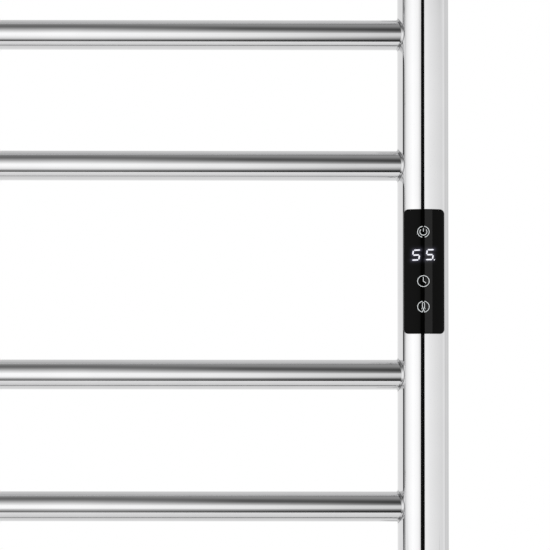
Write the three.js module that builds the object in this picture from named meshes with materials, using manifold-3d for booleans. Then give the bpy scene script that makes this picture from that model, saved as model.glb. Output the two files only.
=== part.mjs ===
// An electric towel warmer rack: two round posts joined by six round bars, all polished stainless
// steel tube, with a touch controller let into the right post, a heating cable threaded through every
// tube, and four wall brackets whose sockets let the rack slide out from the wall.
//
// Millimetres, +Z up. The wall is the plane y = 0, the rack stands in front of it at negative y,
// and the origin is the middle of the four wall plates.
import * as THREE from "three";
import { mergeVertices } from "three/addons/utils/BufferGeometryUtils.js";
import Module from "manifold-3d";

const wasm = await Module();
wasm.setup();

// ---------- Driving dimensions ----------
const GAP = 0.3; // between two pieces that touch

const POST_R = 19.05; // 1 1/2 in tube
const POST_WALL = 1.2;
const POST_SPACING = 482; // between the post axes
const POST_LENGTH = 644; // tube only, without its end caps
const POST_SIDES = 32;

const BAR_R = 11.1; // 7/8 in tube
const BAR_WALL = 1;
const BAR_PITCH = 98; // between the bars of one group
const CONTROL_GAP = 156; // between the two groups, beside the controller
const BARS_PER_GROUP = 3;
const BAR_SIDES = 20;
const CABLE_HOLE_R = 8; // in the post behind each bar, for the heating cable

const PROJECTION = 81; // wall to the post axis, from where it slides 5 mm in and 10 mm out
const BRACKET_Z = 250; // above and below the middle, just inside the outer bars
const SPINDLE_R = 8;
const SPINDLE_END = 12; // wall to the spindle's end

const CONTROLLER_Z = -1.55; // its middle, a hair below the middle of the rack
const COVER_WIDTH = 30.4; // straight across, seen from the front
const COVER_HEIGHT = 92.4;
const COVER_THICKNESS = 1.6;
const COVER_CORNER_R = 3.5;

const CABLE_R = 2.5;
const CABLE_BEND_R = 8;
const CABLE_TURN_X = 4; // the left post's short runs, this far inside its axis
const CABLE_DOWN_X = 6; // its one long run, this far outside it

// ---------- Sizes that follow from them ----------
const POST_INNER_R = POST_R - POST_WALL;
const POST_X = POST_SPACING / 2;
const COVER_INNER_R = POST_R + GAP;
const COVER_OUTER_R = COVER_INNER_R + COVER_THICKNESS;
const BAR_HEIGHTS = [];
for (let i = BARS_PER_GROUP - 1; i >= 0; i--) BAR_HEIGHTS.push(CONTROL_GAP / 2 + i * BAR_PITCH);
for (let i = 0; i < BARS_PER_GROUP; i++) BAR_HEIGHTS.push(-CONTROL_GAP / 2 - i * BAR_PITCH);

// ---------- Finishes ----------
const finish = (color, roughness, metalness) =>
  new THREE.MeshStandardMaterial({ color, roughness, metalness });
const polishedSteel = finish(0xdedfe0, 0.06, 1);
const blackGloss = finish(0x0d0c0a, 0.08, 0);
const greySilicone = finish(0x6d6f70, 0.7, 0);
const whiteSilicone = finish(0xe6e4de, 0.6, 0);
const greyPlastic = finish(0x3a3c3e, 0.5, 0);
const greenBoard = finish(0x1d5a36, 0.45, 0);
const blackPlastic = finish(0x151515, 0.4, 0);
const greenPlastic = finish(0x2e8b57, 0.45, 0);
const glassFuse = finish(0xcfd6d2, 0.15, 0.2);
const springSteel = finish(0xb9bcc0, 0.3, 1);
const blackenedSteel = finish(0x2b2b2d, 0.4, 1);
const brass = finish(0xc9a449, 0.3, 1);

// ---------- Solids from three.js geometry ----------
// A closed geometry as a manifold solid, for cutting and joining.
function solid(geometry) {
  const bare = geometry.index ? geometry.toNonIndexed() : geometry.clone();
  bare.deleteAttribute("normal");
  bare.deleteAttribute("uv");
  const merged = mergeVertices(bare, 1e-4);
  return new wasm.Manifold(
    new wasm.Mesh({
      numProp: 3,
      vertProperties: merged.attributes.position.array,
      triVerts: new Uint32Array(merged.index.array),
    }),
  );
}

// A manifold solid back as a three.js geometry.
function geometryOf(body) {
  const mesh = body.getMesh();
  const geometry = new THREE.BufferGeometry();
  geometry.setAttribute("position", new THREE.BufferAttribute(mesh.vertProperties, 3));
  geometry.setIndex(new THREE.BufferAttribute(mesh.triVerts, 1));
  geometry.computeVertexNormals();
  return geometry;
}

const cut = (base, ...tools) =>
  geometryOf(tools.reduce((left, tool) => left.subtract(solid(tool)), solid(base)));
const join = (...pieces) =>
  geometryOf(pieces.slice(1).reduce((sum, piece) => sum.add(solid(piece)), solid(pieces[0])));

// Round rods along each axis, centred on the origin.
const rodY = (r, length, sides = 24) => new THREE.CylinderGeometry(r, r, length, sides);
const rodX = (r, length, sides) => rodY(r, length, sides).rotateZ(Math.PI / 2);
const rodZ = (r, length, sides) => rodY(r, length, sides).rotateX(Math.PI / 2);
const box = (x, y, z) => new THREE.BoxGeometry(x, y, z);

// A profile of [radius, height] pairs turned about Z, and about Y with height towards -Y.
const turnedZ = (profile, sides) =>
  new THREE.LatheGeometry(profile.map(([r, h]) => new THREE.Vector2(r, h)), sides).rotateX(
    Math.PI / 2,
  );
const turnedOffWall = (profile, sides) => turnedZ(profile, sides).rotateX(Math.PI / 2);

// A quarter turn from straight out to straight up, as profile points.
function arc(r0, h0, radius, steps) {
  const points = [];
  for (let i = 0; i <= steps; i++) {
    const a = (i / steps) * (Math.PI / 2);
    points.push([r0 + radius * Math.cos(a), h0 + radius * Math.sin(a)]);
  }
  return points;
}

// A block with rounded corners seen from the front: width along X, height along Z, depth along Y.
function roundedBlock(width, height, depth, r) {
  const w = width / 2;
  const h = height / 2;
  const outline = new THREE.Shape();
  outline.moveTo(-w + r, -h);
  outline.absarc(w - r, -h + r, r, -Math.PI / 2, 0, false);
  outline.absarc(w - r, h - r, r, 0, Math.PI / 2, false);
  outline.absarc(-w + r, h - r, r, Math.PI / 2, Math.PI, false);
  outline.absarc(-w + r, -h + r, r, Math.PI, Math.PI * 1.5, false);
  return new THREE.ExtrudeGeometry(outline, { depth, bevelEnabled: false, curveSegments: 2 })
    .translate(0, 0, -depth / 2)
    .rotateX(Math.PI / 2);
}

function mesh(name, geometry, material, x = 0, y = 0, z = 0) {
  const made = new THREE.Mesh(geometry, material);
  made.name = name;
  made.position.set(x, y, z);
  return made;
}

function groupAt(x, y, z) {
  const made = new THREE.Group();
  made.position.set(x, y, z);
  return made;
}

// ---------- Posts ----------
const WINDOW_WIDTH = 25; // the opening for the controller
const WINDOW_HEIGHT = 86;
const WINDOW_CORNER_R = 2;

// towardsBars is +1 where the bars lie on the post's +X side, -1 on its -X side.
function postTube(towardsBars, hasWindow) {
  const holes = BAR_HEIGHTS.map((z) =>
    rodX(CABLE_HOLE_R, POST_R, 10).translate(towardsBars * POST_R, 0, z),
  );
  const window = roundedBlock(WINDOW_WIDTH, WINDOW_HEIGHT, POST_R, WINDOW_CORNER_R);
  return cut(
    rodZ(POST_R, POST_LENGTH, POST_SIDES),
    rodZ(POST_INNER_R, POST_LENGTH + 2, POST_SIDES / 2),
    ...holes,
    ...(hasWindow ? [window.translate(0, -POST_R, CONTROLLER_Z)] : []),
  );
}

// ---------- Post end caps ----------
const CAP_RISE = 3; // how far the cap stands past the tube
const CAP_EDGE_R = 2; // rounded rim
const CAP_PLUG_R = 17.2; // the collar inside the tube
const CAP_PLUG_WALL = 1.4;
const CAP_PLUG_DEPTH = 8;
const GLAND_HOLE_R = 6.6;
const EARTH_X = 12.1; // the earth screw, beside the gland
const EARTH_SCREW_R = 1.5;
const EARTH_SCREW_DEPTH = 2;

// The cap stands on the tube's end at z = 0, its collar hanging inside the tube.
function endCap() {
  const rim = arc(POST_R - CAP_EDGE_R, CAP_RISE - CAP_EDGE_R, CAP_EDGE_R, 3);
  return turnedZ(
    [
      [0, 0],
      [CAP_PLUG_R - CAP_PLUG_WALL, 0],
      [CAP_PLUG_R - CAP_PLUG_WALL, -CAP_PLUG_DEPTH],
      [CAP_PLUG_R, -CAP_PLUG_DEPTH],
      [CAP_PLUG_R, GAP],
      [POST_R, GAP],
      ...rim,
      [0, CAP_RISE],
    ],
    24,
  );
}

// The same cap with a hole for the gland and a blind one for the earth screw.
const entryCap = () =>
  cut(
    endCap(),
    rodZ(GLAND_HOLE_R, 4 * CAP_RISE, 20),
    rodZ(EARTH_SCREW_R + GAP, 2 * EARTH_SCREW_DEPTH + 2 * GAP, 10).translate(EARTH_X, 0, 0),
  );

// ---------- Bars ----------
// A tube from post to post, its ends shaped to sit on the posts' round sides.
function barTube() {
  const post = (x) => rodZ(POST_R + GAP, 4 * BAR_R, POST_SIDES).translate(x, 0, 0);
  return cut(
    rodX(BAR_R, POST_SPACING, BAR_SIDES),
    rodX(BAR_R - BAR_WALL, POST_SPACING + 2, BAR_SIDES / 2),
    post(-POST_X),
    post(POST_X),
  );
}

// ---------- Wall brackets ----------
const PLATE_R = 25;
const PLATE_THICKNESS = 4;
const PLATE_SCREW_CIRCLE_R = 19;
const PLATE_SCREW_HOLE_R = 2.4;
const BOSS_R = 13;
const BOSS_LENGTH = 32;
const BOSS_CHAMFER = 1;
const SOCKET_R = SPINDLE_R + 0.4; // sliding clearance
const SOCKET_FLOOR = 6; // wall to the bottom of the socket
const GRUB_R = 2.5;
const GRUB_LENGTH = 4.2;
const GRUB_KEY_R = 1.45; // its hexagon socket, across the corners
const GRUB_FROM_WALL = 25;
const ESCUTCHEON_R = 28;
const ESCUTCHEON_DEPTH = 9;
const ESCUTCHEON_WALL = 1.2;
const ESCUTCHEON_EDGE_R = 4;

// Screwed to the wall through three holes, with a blind socket for the spindle.
function wallPlate() {
  const body = turnedOffWall(
    [
      [0, 0],
      [PLATE_R, 0],
      [PLATE_R, PLATE_THICKNESS],
      [BOSS_R, PLATE_THICKNESS],
      [BOSS_R, BOSS_LENGTH - BOSS_CHAMFER],
      [BOSS_R - BOSS_CHAMFER, BOSS_LENGTH],
      [SOCKET_R, BOSS_LENGTH],
      [SOCKET_R, SOCKET_FLOOR],
      [0, SOCKET_FLOOR],
    ],
    24,
  );
  const screwHoles = [0, 1, 2].map((i) => {
    const a = Math.PI / 2 + (i * 2 * Math.PI) / 3;
    return rodY(PLATE_SCREW_HOLE_R, 4 * PLATE_THICKNESS, 8).translate(
      PLATE_SCREW_CIRCLE_R * Math.cos(a),
      0,
      PLATE_SCREW_CIRCLE_R * Math.sin(a),
    );
  });
  const grubHole = rodZ(GRUB_R + GAP, BOSS_R, 10).translate(0, -GRUB_FROM_WALL, -BOSS_R);
  return cut(body, ...screwHoles, grubHole);
}

// A turned cover that slides over the boss and hides the plate and its screws.
function escutcheon() {
  const inner = BOSS_R + 2 * GAP;
  const edge = ESCUTCHEON_R - ESCUTCHEON_EDGE_R;
  const face = ESCUTCHEON_DEPTH - ESCUTCHEON_EDGE_R;
  const side = ESCUTCHEON_R - ESCUTCHEON_WALL;
  return turnedOffWall(
    [
      [side, 0],
      [ESCUTCHEON_R, 0],
      ...arc(edge, face, ESCUTCHEON_EDGE_R, 3),
      [inner, ESCUTCHEON_DEPTH],
      [inner, ESCUTCHEON_DEPTH - ESCUTCHEON_WALL],
      [edge, ESCUTCHEON_DEPTH - ESCUTCHEON_WALL],
      [side, face],
      [side, 0],
    ],
    24,
  );
}

// A solid rod, shaped at the front to be welded to the post's back.
function spindle() {
  const length = PROJECTION - SPINDLE_END;
  return cut(
    rodY(SPINDLE_R, length, 16).translate(0, length / 2, 0),
    rodZ(POST_R + GAP, 4 * SPINDLE_R, POST_SIDES),
  );
}

// An M5 set screw with a hexagon socket, lying along Z with its socket downwards.
function grubScrew() {
  const socket = rodZ(GRUB_KEY_R, GRUB_LENGTH, 6).translate(0, 0, -GRUB_LENGTH / 2);
  return cut(rodZ(GRUB_R, GRUB_LENGTH, 10), socket);
}

// ---------- Controller ----------
// Everything here is set about the post axis and the controller's middle, with the front at -Y.
const TRAY_WIDTH = 24;
const TRAY_HEIGHT = 84;
const TRAY_WALL = 1.5;
const TRAY_CORNER_R = 1.5;
const TRAY_BOSS_R = 3; // what the board screws bite into
const TRAY_BACK = 10; // post axis to the back of the tray
const TRAY_FRONT = 13; // post axis to its open rim
const BOARD_WIDTH = 20.2;
const BOARD_HEIGHT = 78;
const BOARD_THICKNESS = 1.6;
const POWER_BOARD_Y = 6.4; // middle of each board, from the post axis
const DISPLAY_BOARD_Y = -8.2;
const BOARD_FRONT = DISPLAY_BOARD_Y - BOARD_THICKNESS / 2 - GAP;
const BOARD_CLEARANCE = POWER_BOARD_Y - DISPLAY_BOARD_Y - BOARD_THICKNESS - 2 * GAP;
const LINK_Z = 1;
const RELAY_X = -3;
const FUSE_X = 6.6;
const FUSE_Z = 18; // and the relay's, beside it
const TERMINALS_Z = -23;
const SCREW_Z = 36.3; // board screws, above and below the middle
const SCREW_R = 1.25;
const SCREW_HEAD_R = 2.4;
const SCREW_HEAD_HEIGHT = 1.6;
const SPACER_R = 2.8;
const KEY_HEIGHTS = { power: 29.2, timer: -7.3, heat: -26.2 }; // touch keys
const DIGITS_Z = 12.3;

// The glossy lens over the window: a curved plate with rounded corners.
function controlCover() {
  const half = (r) => Math.asin(COVER_WIDTH / 2 / r);
  const middle = -Math.PI / 2;
  const section = new THREE.Shape();
  const outer = half(COVER_OUTER_R);
  const inner = half(COVER_INNER_R);
  section.absarc(0, 0, COVER_OUTER_R, middle - outer, middle + outer, false);
  section.absarc(0, 0, COVER_INNER_R, middle + inner, middle - inner, true);
  const curved = new THREE.ExtrudeGeometry(section, {
    depth: COVER_HEIGHT,
    bevelEnabled: false,
    curveSegments: 6,
  }).translate(0, 0, -COVER_HEIGHT / 2);
  const outline = roundedBlock(COVER_WIDTH, COVER_HEIGHT, 3 * POST_R, COVER_CORNER_R);
  return geometryOf(solid(curved).intersect(solid(outline)));
}

// The tray's inside, as deep as the post is thick, so that it can be cut out anywhere.
const trayHollow = () =>
  roundedBlock(TRAY_WIDTH - 2 * TRAY_WALL, TRAY_HEIGHT - 2 * TRAY_WALL, 2 * POST_R, 1);

// A frame of soft silicone between the tray's rim and the lens, curved like the lens in front.
function controlSeal() {
  const depth = POST_R;
  const frame = cut(roundedBlock(TRAY_WIDTH, TRAY_HEIGHT, depth, TRAY_CORNER_R), trayHollow());
  const lensInside = rodZ(COVER_INNER_R - GAP, 2 * TRAY_HEIGHT, POST_SIDES);
  const onRim = frame.translate(0, -TRAY_FRONT - GAP - depth / 2, 0);
  return geometryOf(solid(onRim).intersect(solid(lensInside)));
}

// The plastic tray that drops into the window and carries both boards.
function controlTray() {
  const floor = TRAY_BACK - TRAY_WALL;
  const shell = cut(
    roundedBlock(TRAY_WIDTH, TRAY_HEIGHT, TRAY_BACK + TRAY_FRONT, TRAY_CORNER_R).translate(
      0,
      (TRAY_BACK - TRAY_FRONT) / 2,
      0,
    ),
    trayHollow().translate(0, floor - POST_R, 0),
    rodZ(CABLE_R + 2 * GAP, 2 * TRAY_HEIGHT, 10),
  );
  const bossFront = POWER_BOARD_Y + BOARD_THICKNESS / 2 + GAP;
  const bossLength = floor - bossFront + TRAY_WALL / 2;
  const bosses = [SCREW_Z, -SCREW_Z].map((z) =>
    cut(
      rodY(TRAY_BOSS_R, bossLength, 12).translate(0, bossFront + bossLength / 2, z),
      rodY(SCREW_R + GAP, 2 * (floor - bossFront), 10).translate(0, bossFront, z),
    ),
  );
  return join(shell, ...bosses);
}

function circuitBoard() {
  const holes = [SCREW_Z, -SCREW_Z].map((z) =>
    rodY(SCREW_R + GAP, 2 * BOARD_THICKNESS, 10).translate(0, 0, z),
  );
  return cut(box(BOARD_WIDTH, BOARD_THICKNESS, BOARD_HEIGHT), ...holes);
}

// The distance piece between the boards, round the screw.
const boardSpacer = () =>
  cut(rodY(SPACER_R, BOARD_CLEARANCE, 12), rodY(SCREW_R + GAP, 2 * BOARD_CLEARANCE, 10));

// A slotted pan-head screw lying along Y, its head's underside at y = 0.
function boardScrew() {
  const head = turnedOffWall(
    [
      [0, 0],
      [SCREW_HEAD_R, 0],
      [SCREW_HEAD_R, SCREW_HEAD_HEIGHT / 2],
      [SCREW_HEAD_R / 2, SCREW_HEAD_HEIGHT],
      [0, SCREW_HEAD_HEIGHT],
    ],
    12,
  );
  const reach = TRAY_BACK - TRAY_WALL - BOARD_FRONT - GAP;
  const shank = rodY(SCREW_R, reach + GAP, 10).translate(0, (reach - GAP) / 2, 0);
  const slot = box(4 * SCREW_HEAD_R, SCREW_HEAD_HEIGHT, 0.6).translate(0, -SCREW_HEAD_HEIGHT, 0);
  return cut(join(head, shank), slot);
}

// A two-digit display block: each digit sits in its own sunken window.
const DISPLAY = { width: 20, depth: 6, height: 13.6 };
const DIGIT = { width: 7.4, sink: 0.6, height: 10.6, pitch: 10.1 };
function digitDisplay() {
  const windows = [-1, 1].map((side) =>
    box(DIGIT.width, 2 * DIGIT.sink, DIGIT.height).translate(
      (side * DIGIT.pitch) / 2,
      -DISPLAY.depth / 2,
      0,
    ),
  );
  return cut(box(DISPLAY.width, DISPLAY.depth, DISPLAY.height), ...windows);
}

// A conical wire spring that carries each touch key's field from the board to the lens.
const TOUCH_SPRING_TURNS = 4;
const TOUCH_SPRING_HEIGHT = 8.8;
const TOUCH_SPRING_BASE_R = 3.2;
const TOUCH_SPRING_TOP_R = 2.2;
const TOUCH_SPRING_WIRE_R = 0.35;
class SpringLine extends THREE.Curve {
  getPoint(t, target = new THREE.Vector3()) {
    const a = t * TOUCH_SPRING_TURNS * 2 * Math.PI;
    const r = TOUCH_SPRING_BASE_R + (TOUCH_SPRING_TOP_R - TOUCH_SPRING_BASE_R) * t;
    return target.set(r * Math.cos(a), -t * TOUCH_SPRING_HEIGHT, r * Math.sin(a));
  }
}

function touchSpring() {
  const wire = new THREE.Shape();
  wire.absarc(0, 0, TOUCH_SPRING_WIRE_R, 0, 2 * Math.PI, false);
  return new THREE.ExtrudeGeometry(wire, {
    extrudePath: new SpringLine(),
    steps: TOUCH_SPRING_TURNS * 8,
    curveSegments: 2,
  });
}

// A pin header that carries the signals from one board to the other.
const LINK = { width: 13, strip: 2.5, pin: 0.7, pitch: 2.5 };
function boardLink() {
  const pins = [-2, -1, 0, 1, 2].map((i) =>
    box(LINK.pin, BOARD_CLEARANCE, LINK.pin).translate(i * LINK.pitch, 0, 0),
  );
  const strips = [-1, 1].map((end) =>
    box(LINK.width, LINK.strip, LINK.strip).translate(0, (end * (BOARD_CLEARANCE - LINK.strip)) / 2, 0),
  );
  return join(...strips, ...pins);
}

// The parts on the power board: a relay that switches the heater, its fuse, and the terminals.
const RELAY = { width: 12, depth: 9.5, height: 19 };
const relay = () => box(RELAY.width, RELAY.depth, RELAY.height);

const FUSE = { r: 2.6, glassR: 2.3, length: 20, ferrule: 5 };
function fuse() {
  const end = FUSE.length / 2;
  const glass = end - FUSE.ferrule;
  return turnedZ(
    [
      [0, -end],
      [FUSE.r, -end],
      [FUSE.r, -glass],
      [FUSE.glassR, -glass],
      [FUSE.glassR, glass],
      [FUSE.r, glass],
      [FUSE.r, end],
      [0, end],
    ],
    12,
  );
}

// Three screw terminals in a row: a wire goes in from below each, and its screw faces the front.
const TERMINALS = { width: 15.5, depth: 9, height: 8, pitch: 5, holeR: 1.3, holeDepth: 3 };
function terminalBlock() {
  const { width, depth, height, pitch, holeR, holeDepth } = TERMINALS;
  const holes = [-pitch, 0, pitch].flatMap((x) => [
    rodZ(holeR, 2 * holeDepth, 8).translate(x, depth / 8, -height / 2),
    rodY(holeR, holeDepth, 8).translate(x, -depth / 2, 0),
  ]);
  return cut(box(width, depth, height), ...holes);
}

// ---------- Heating cable ----------
// The cable's centre line: straight runs joined by quarter turns, all in one upright plane.
// Its stations are where the section is drawn, so the long straight runs cost nothing.
class CableRoute extends THREE.Curve {
  constructor(corners, bendR, stepsPerBend) {
    super();
    this.points = [corners[0]];
    this.tangents = [corners[1].clone().sub(corners[0]).normalize()];
    for (let i = 1; i < corners.length - 1; i++) {
      const inward = corners[i].clone().sub(corners[i - 1]).normalize();
      const outward = corners[i + 1].clone().sub(corners[i]).normalize();
      const centre = corners[i].clone().addScaledVector(inward, -bendR).addScaledVector(outward, bendR);
      for (let k = 0; k <= stepsPerBend; k++) {
        const a = (k / stepsPerBend) * (Math.PI / 2);
        const offset = outward.clone().multiplyScalar(-Math.cos(a)).addScaledVector(inward, Math.sin(a));
        const along = inward.clone().multiplyScalar(Math.cos(a)).addScaledVector(outward, Math.sin(a));
        this.points.push(centre.clone().addScaledVector(offset, bendR));
        this.tangents.push(along);
      }
    }
    this.points.push(corners.at(-1));
    this.tangents.push(this.tangents.at(-1).clone());
    this.steps = this.points.length - 1;
  }

  getPointAt(u, target = new THREE.Vector3()) {
    return target.copy(this.points[Math.round(u * this.steps)]);
  }

  getTangentAt(u, target = new THREE.Vector3()) {
    return target.copy(this.tangents[Math.round(u * this.steps)]);
  }
}

// From above the controller through the upper bars, down the left post, and back through the lower
// bars to below the controller, so that it passes every bar once.
function heatingCable() {
  const rightX = POST_X;
  const turnX = -POST_X + CABLE_TURN_X;
  const downX = -POST_X - CABLE_DOWN_X;
  const lead = TRAY_HEIGHT / 2 - TRAY_WALL - GAP; // just inside the tray's end walls
  const [b1, b2, b3, b4, b5, b6] = BAR_HEIGHTS;
  const corners = [
    [rightX, CONTROLLER_Z + lead],
    [rightX, b3],
    [turnX, b3],
    [turnX, b2],
    [rightX, b2],
    [rightX, b1],
    [downX, b1],
    [downX, b6],
    [rightX, b6],
    [rightX, b5],
    [turnX, b5],
    [turnX, b4],
    [rightX, b4],
    [rightX, CONTROLLER_Z - lead],
  ].map(([x, z]) => new THREE.Vector3(x, 0, z));
  const route = new CableRoute(corners, CABLE_BEND_R, 4);
  const section = new THREE.Shape();
  section.absarc(0, 0, CABLE_R, 0, 2 * Math.PI, false);
  return new THREE.ExtrudeGeometry(section, {
    extrudePath: route,
    steps: route.steps,
    curveSegments: 4,
  });
}

// ---------- Mains entry and earth ----------
// Each of these stands on the bottom cap's inside, at z = 0, seen with the post above it.
const GLAND_BORE_R = 3.8; // for a 7 mm lead
const GLAND_NECK_R = GLAND_HOLE_R - GAP;
const GLAND_COLLAR_R = 9.5;
const GLAND_COLLAR_HEIGHT = 5;
const GLAND_CHAMFER = 1.8;
const GLAND_NUT_R = 9; // across the corners
const GLAND_NUT_HEIGHT = 4;
const EARTH_EYE_R = 2.9;
const EARTH_EYE_THICKNESS = 0.8;
const EARTH_HEAD_R = 2.8;
const EARTH_HEAD_HEIGHT = 1.8;
const EARTH_BARREL_R = 1.5;
const EARTH_BARREL_LENGTH = 7;

// Hangs through the bottom cap: a rounded collar below, a neck up through the hole.
function cableGland() {
  const collarTop = -CAP_RISE - GAP;
  const collarBottom = collarTop - GLAND_COLLAR_HEIGHT;
  const neckTop = GLAND_NUT_HEIGHT + 2;
  return turnedZ(
    [
      [GLAND_BORE_R, collarBottom],
      [GLAND_COLLAR_R - GLAND_CHAMFER, collarBottom],
      [GLAND_COLLAR_R, collarBottom + GLAND_CHAMFER],
      [GLAND_COLLAR_R, collarTop],
      [GLAND_NECK_R, collarTop],
      [GLAND_NECK_R, neckTop],
      [GLAND_BORE_R, neckTop],
      [GLAND_BORE_R, collarBottom],
    ],
    20,
  );
}

// A hexagon nut on the neck, its corners up and down the post's front and back.
const glandNut = () =>
  cut(
    rodZ(GLAND_NUT_R, GLAND_NUT_HEIGHT, 6),
    rodZ(GLAND_NECK_R + 2 * GAP, 2 * GLAND_NUT_HEIGHT, 20),
  ).translate(0, 0, GLAND_NUT_HEIGHT / 2 + GAP);

// A ring terminal under the screw's head: a flat eye, a short tail and its crimp barrel.
function earthTag() {
  const eye = cut(
    rodZ(EARTH_EYE_R, EARTH_EYE_THICKNESS, 12),
    rodZ(EARTH_SCREW_R + GAP, 2 * EARTH_EYE_THICKNESS, 10),
  );
  const barrelY = 2 * EARTH_EYE_R;
  const tail = box(2.4, EARTH_EYE_R + 1, EARTH_EYE_THICKNESS).translate(0, barrelY - EARTH_BARREL_R, 0);
  const barrelZ = (EARTH_BARREL_LENGTH - EARTH_EYE_THICKNESS) / 2;
  const barrel = rodZ(EARTH_BARREL_R, EARTH_BARREL_LENGTH, 8).translate(0, barrelY, barrelZ);
  return join(eye, tail, barrel).translate(0, 0, EARTH_EYE_THICKNESS / 2 + GAP);
}

// A slotted pan-head screw, its shank down through the tag into the cap.
function earthScrew() {
  const seat = EARTH_EYE_THICKNESS + 2 * GAP;
  const head = turnedZ(
    [
      [0, seat],
      [EARTH_HEAD_R, seat],
      [EARTH_HEAD_R, seat + EARTH_HEAD_HEIGHT / 2],
      [EARTH_HEAD_R - EARTH_HEAD_HEIGHT / 2, seat + EARTH_HEAD_HEIGHT],
      [0, seat + EARTH_HEAD_HEIGHT],
    ],
    12,
  );
  const length = seat + EARTH_SCREW_DEPTH + GAP;
  const shank = rodZ(EARTH_SCREW_R, length, 10).translate(0, 0, seat + GAP - length / 2);
  const slot = box(4 * EARTH_HEAD_R, 0.7, EARTH_HEAD_HEIGHT).translate(0, 0, seat + EARTH_HEAD_HEIGHT);
  return cut(join(head, shank), slot);
}

// ---------- Temperature probe ----------
const PROBE_R = 2.5;
const PROBE_LENGTH = 24;
const PROBE_X = 14.4; // from the post axis, against the side away from the bars
const PROBE_Z = 60; // between the controller and the first bar above it
const HOLDER_HEIGHT = 10;
const HOLDER_INNER_X = 9;

// A closed steel sleeve with a rounded nose, where the sensor bead sits.
const temperatureProbe = () =>
  turnedZ(
    [
      [0, -PROBE_LENGTH / 2],
      [0.7 * PROBE_R, -PROBE_LENGTH / 2 + 0.3 * PROBE_R],
      [PROBE_R, -PROBE_LENGTH / 2 + PROBE_R],
      [PROBE_R, PROBE_LENGTH / 2],
      [0, PROBE_LENGTH / 2],
    ],
    12,
  );

// A half-moon of silicone wedged in the post, holding the probe near the wall.
function probeHolder() {
  const reach = POST_INNER_R;
  const block = box(reach - HOLDER_INNER_X, 2 * reach, HOLDER_HEIGHT);
  const sleeve = rodZ(PROBE_R + GAP, 2 * HOLDER_HEIGHT, 12).translate(PROBE_X, 0, 0);
  const wedge = solid(block.translate((reach + HOLDER_INNER_X) / 2, 0, 0)).intersect(
    solid(rodZ(POST_INNER_R - 2 * GAP, HOLDER_HEIGHT, POST_SIDES / 2)),
  );
  return cut(geometryOf(wedge), sleeve);
}

// ---------- Assembly ----------
const towelWarmer = new THREE.Group();

const rack = groupAt(0, -PROJECTION, 0);
towelWarmer.add(rack);
BAR_HEIGHTS.forEach((z, i) => rack.add(mesh(`bar_${i + 1}`, barTube(), polishedSteel, 0, 0, z)));
rack.add(mesh("heating_cable", heatingCable(), whiteSilicone));

for (const [side, towardsBars] of Object.entries({ left: 1, right: -1 })) {
  const isRight = side === "right";
  const post = groupAt(-towardsBars * POST_X, 0, 0);
  rack.add(post);
  post.add(mesh(`${side}_post`, postTube(towardsBars, isRight), polishedSteel));
  post.add(mesh(`${side}_post_top_cap`, endCap(), polishedSteel, 0, 0, POST_LENGTH / 2));
  const bottomCap = (isRight ? entryCap() : endCap()).rotateY(Math.PI);
  post.add(mesh(`${side}_post_bottom_cap`, bottomCap, polishedSteel, 0, 0, -POST_LENGTH / 2));
  for (const [end, z] of Object.entries({ top: BRACKET_Z, bottom: -BRACKET_Z })) {
    post.add(mesh(`spindle_${end}_${side}`, spindle(), polishedSteel, 0, 0, z));
    const bracket = groupAt(-towardsBars * POST_X, 0, z);
    bracket.add(mesh(`wall_plate_${end}_${side}`, wallPlate(), polishedSteel));
    bracket.add(mesh(`escutcheon_${end}_${side}`, escutcheon(), polishedSteel));
    const grubZ = -(SPINDLE_R + GAP + GRUB_LENGTH / 2);
    const grub = mesh(`grub_screw_${end}_${side}`, grubScrew(), blackenedSteel);
    grub.position.set(0, -GRUB_FROM_WALL, grubZ);
    bracket.add(grub);
    towelWarmer.add(bracket);
  }
}

const controller = groupAt(POST_X, 0, CONTROLLER_Z);
rack.add(controller);
controller.add(mesh("control_cover", controlCover(), blackGloss));
controller.add(mesh("control_seal", controlSeal(), greySilicone));
controller.add(mesh("control_tray", controlTray(), greyPlastic));
controller.add(mesh("display_board", circuitBoard(), greenBoard, 0, DISPLAY_BOARD_Y, 0));
controller.add(mesh("power_board", circuitBoard(), greenBoard, 0, POWER_BOARD_Y, 0));
const displayY = BOARD_FRONT - DISPLAY.depth / 2;
controller.add(mesh("digit_display", digitDisplay(), blackPlastic, 0, displayY, DIGITS_Z));
const springY = BOARD_FRONT - TOUCH_SPRING_WIRE_R;
for (const [key, z] of Object.entries(KEY_HEIGHTS))
  controller.add(mesh(`touch_spring_${key}`, touchSpring(), springSteel, 0, springY, z));
const betweenBoards = (POWER_BOARD_Y + DISPLAY_BOARD_Y) / 2;
controller.add(mesh("board_link", boardLink(), blackPlastic, 0, betweenBoards, LINK_Z));
for (const [end, z] of Object.entries({ top: SCREW_Z, bottom: -SCREW_Z })) {
  controller.add(mesh(`board_spacer_${end}`, boardSpacer(), greyPlastic, 0, betweenBoards, z));
  controller.add(mesh(`board_screw_${end}`, boardScrew(), springSteel, 0, BOARD_FRONT, z));
}
const partsBack = POWER_BOARD_Y - BOARD_THICKNESS / 2 - GAP;
const relayY = partsBack - RELAY.depth / 2;
controller.add(mesh("relay", relay(), blackPlastic, RELAY_X, relayY, FUSE_Z));
controller.add(mesh("fuse", fuse(), glassFuse, FUSE_X, partsBack - FUSE.r, FUSE_Z));
const terminalsY = partsBack - TERMINALS.depth / 2;
controller.add(mesh("terminal_block", terminalBlock(), greenPlastic, 0, terminalsY, TERMINALS_Z));
controller.add(mesh("temperature_probe", temperatureProbe(), springSteel, PROBE_X, 0, PROBE_Z));
controller.add(mesh("probe_holder", probeHolder(), greySilicone, 0, 0, PROBE_Z));

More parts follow.
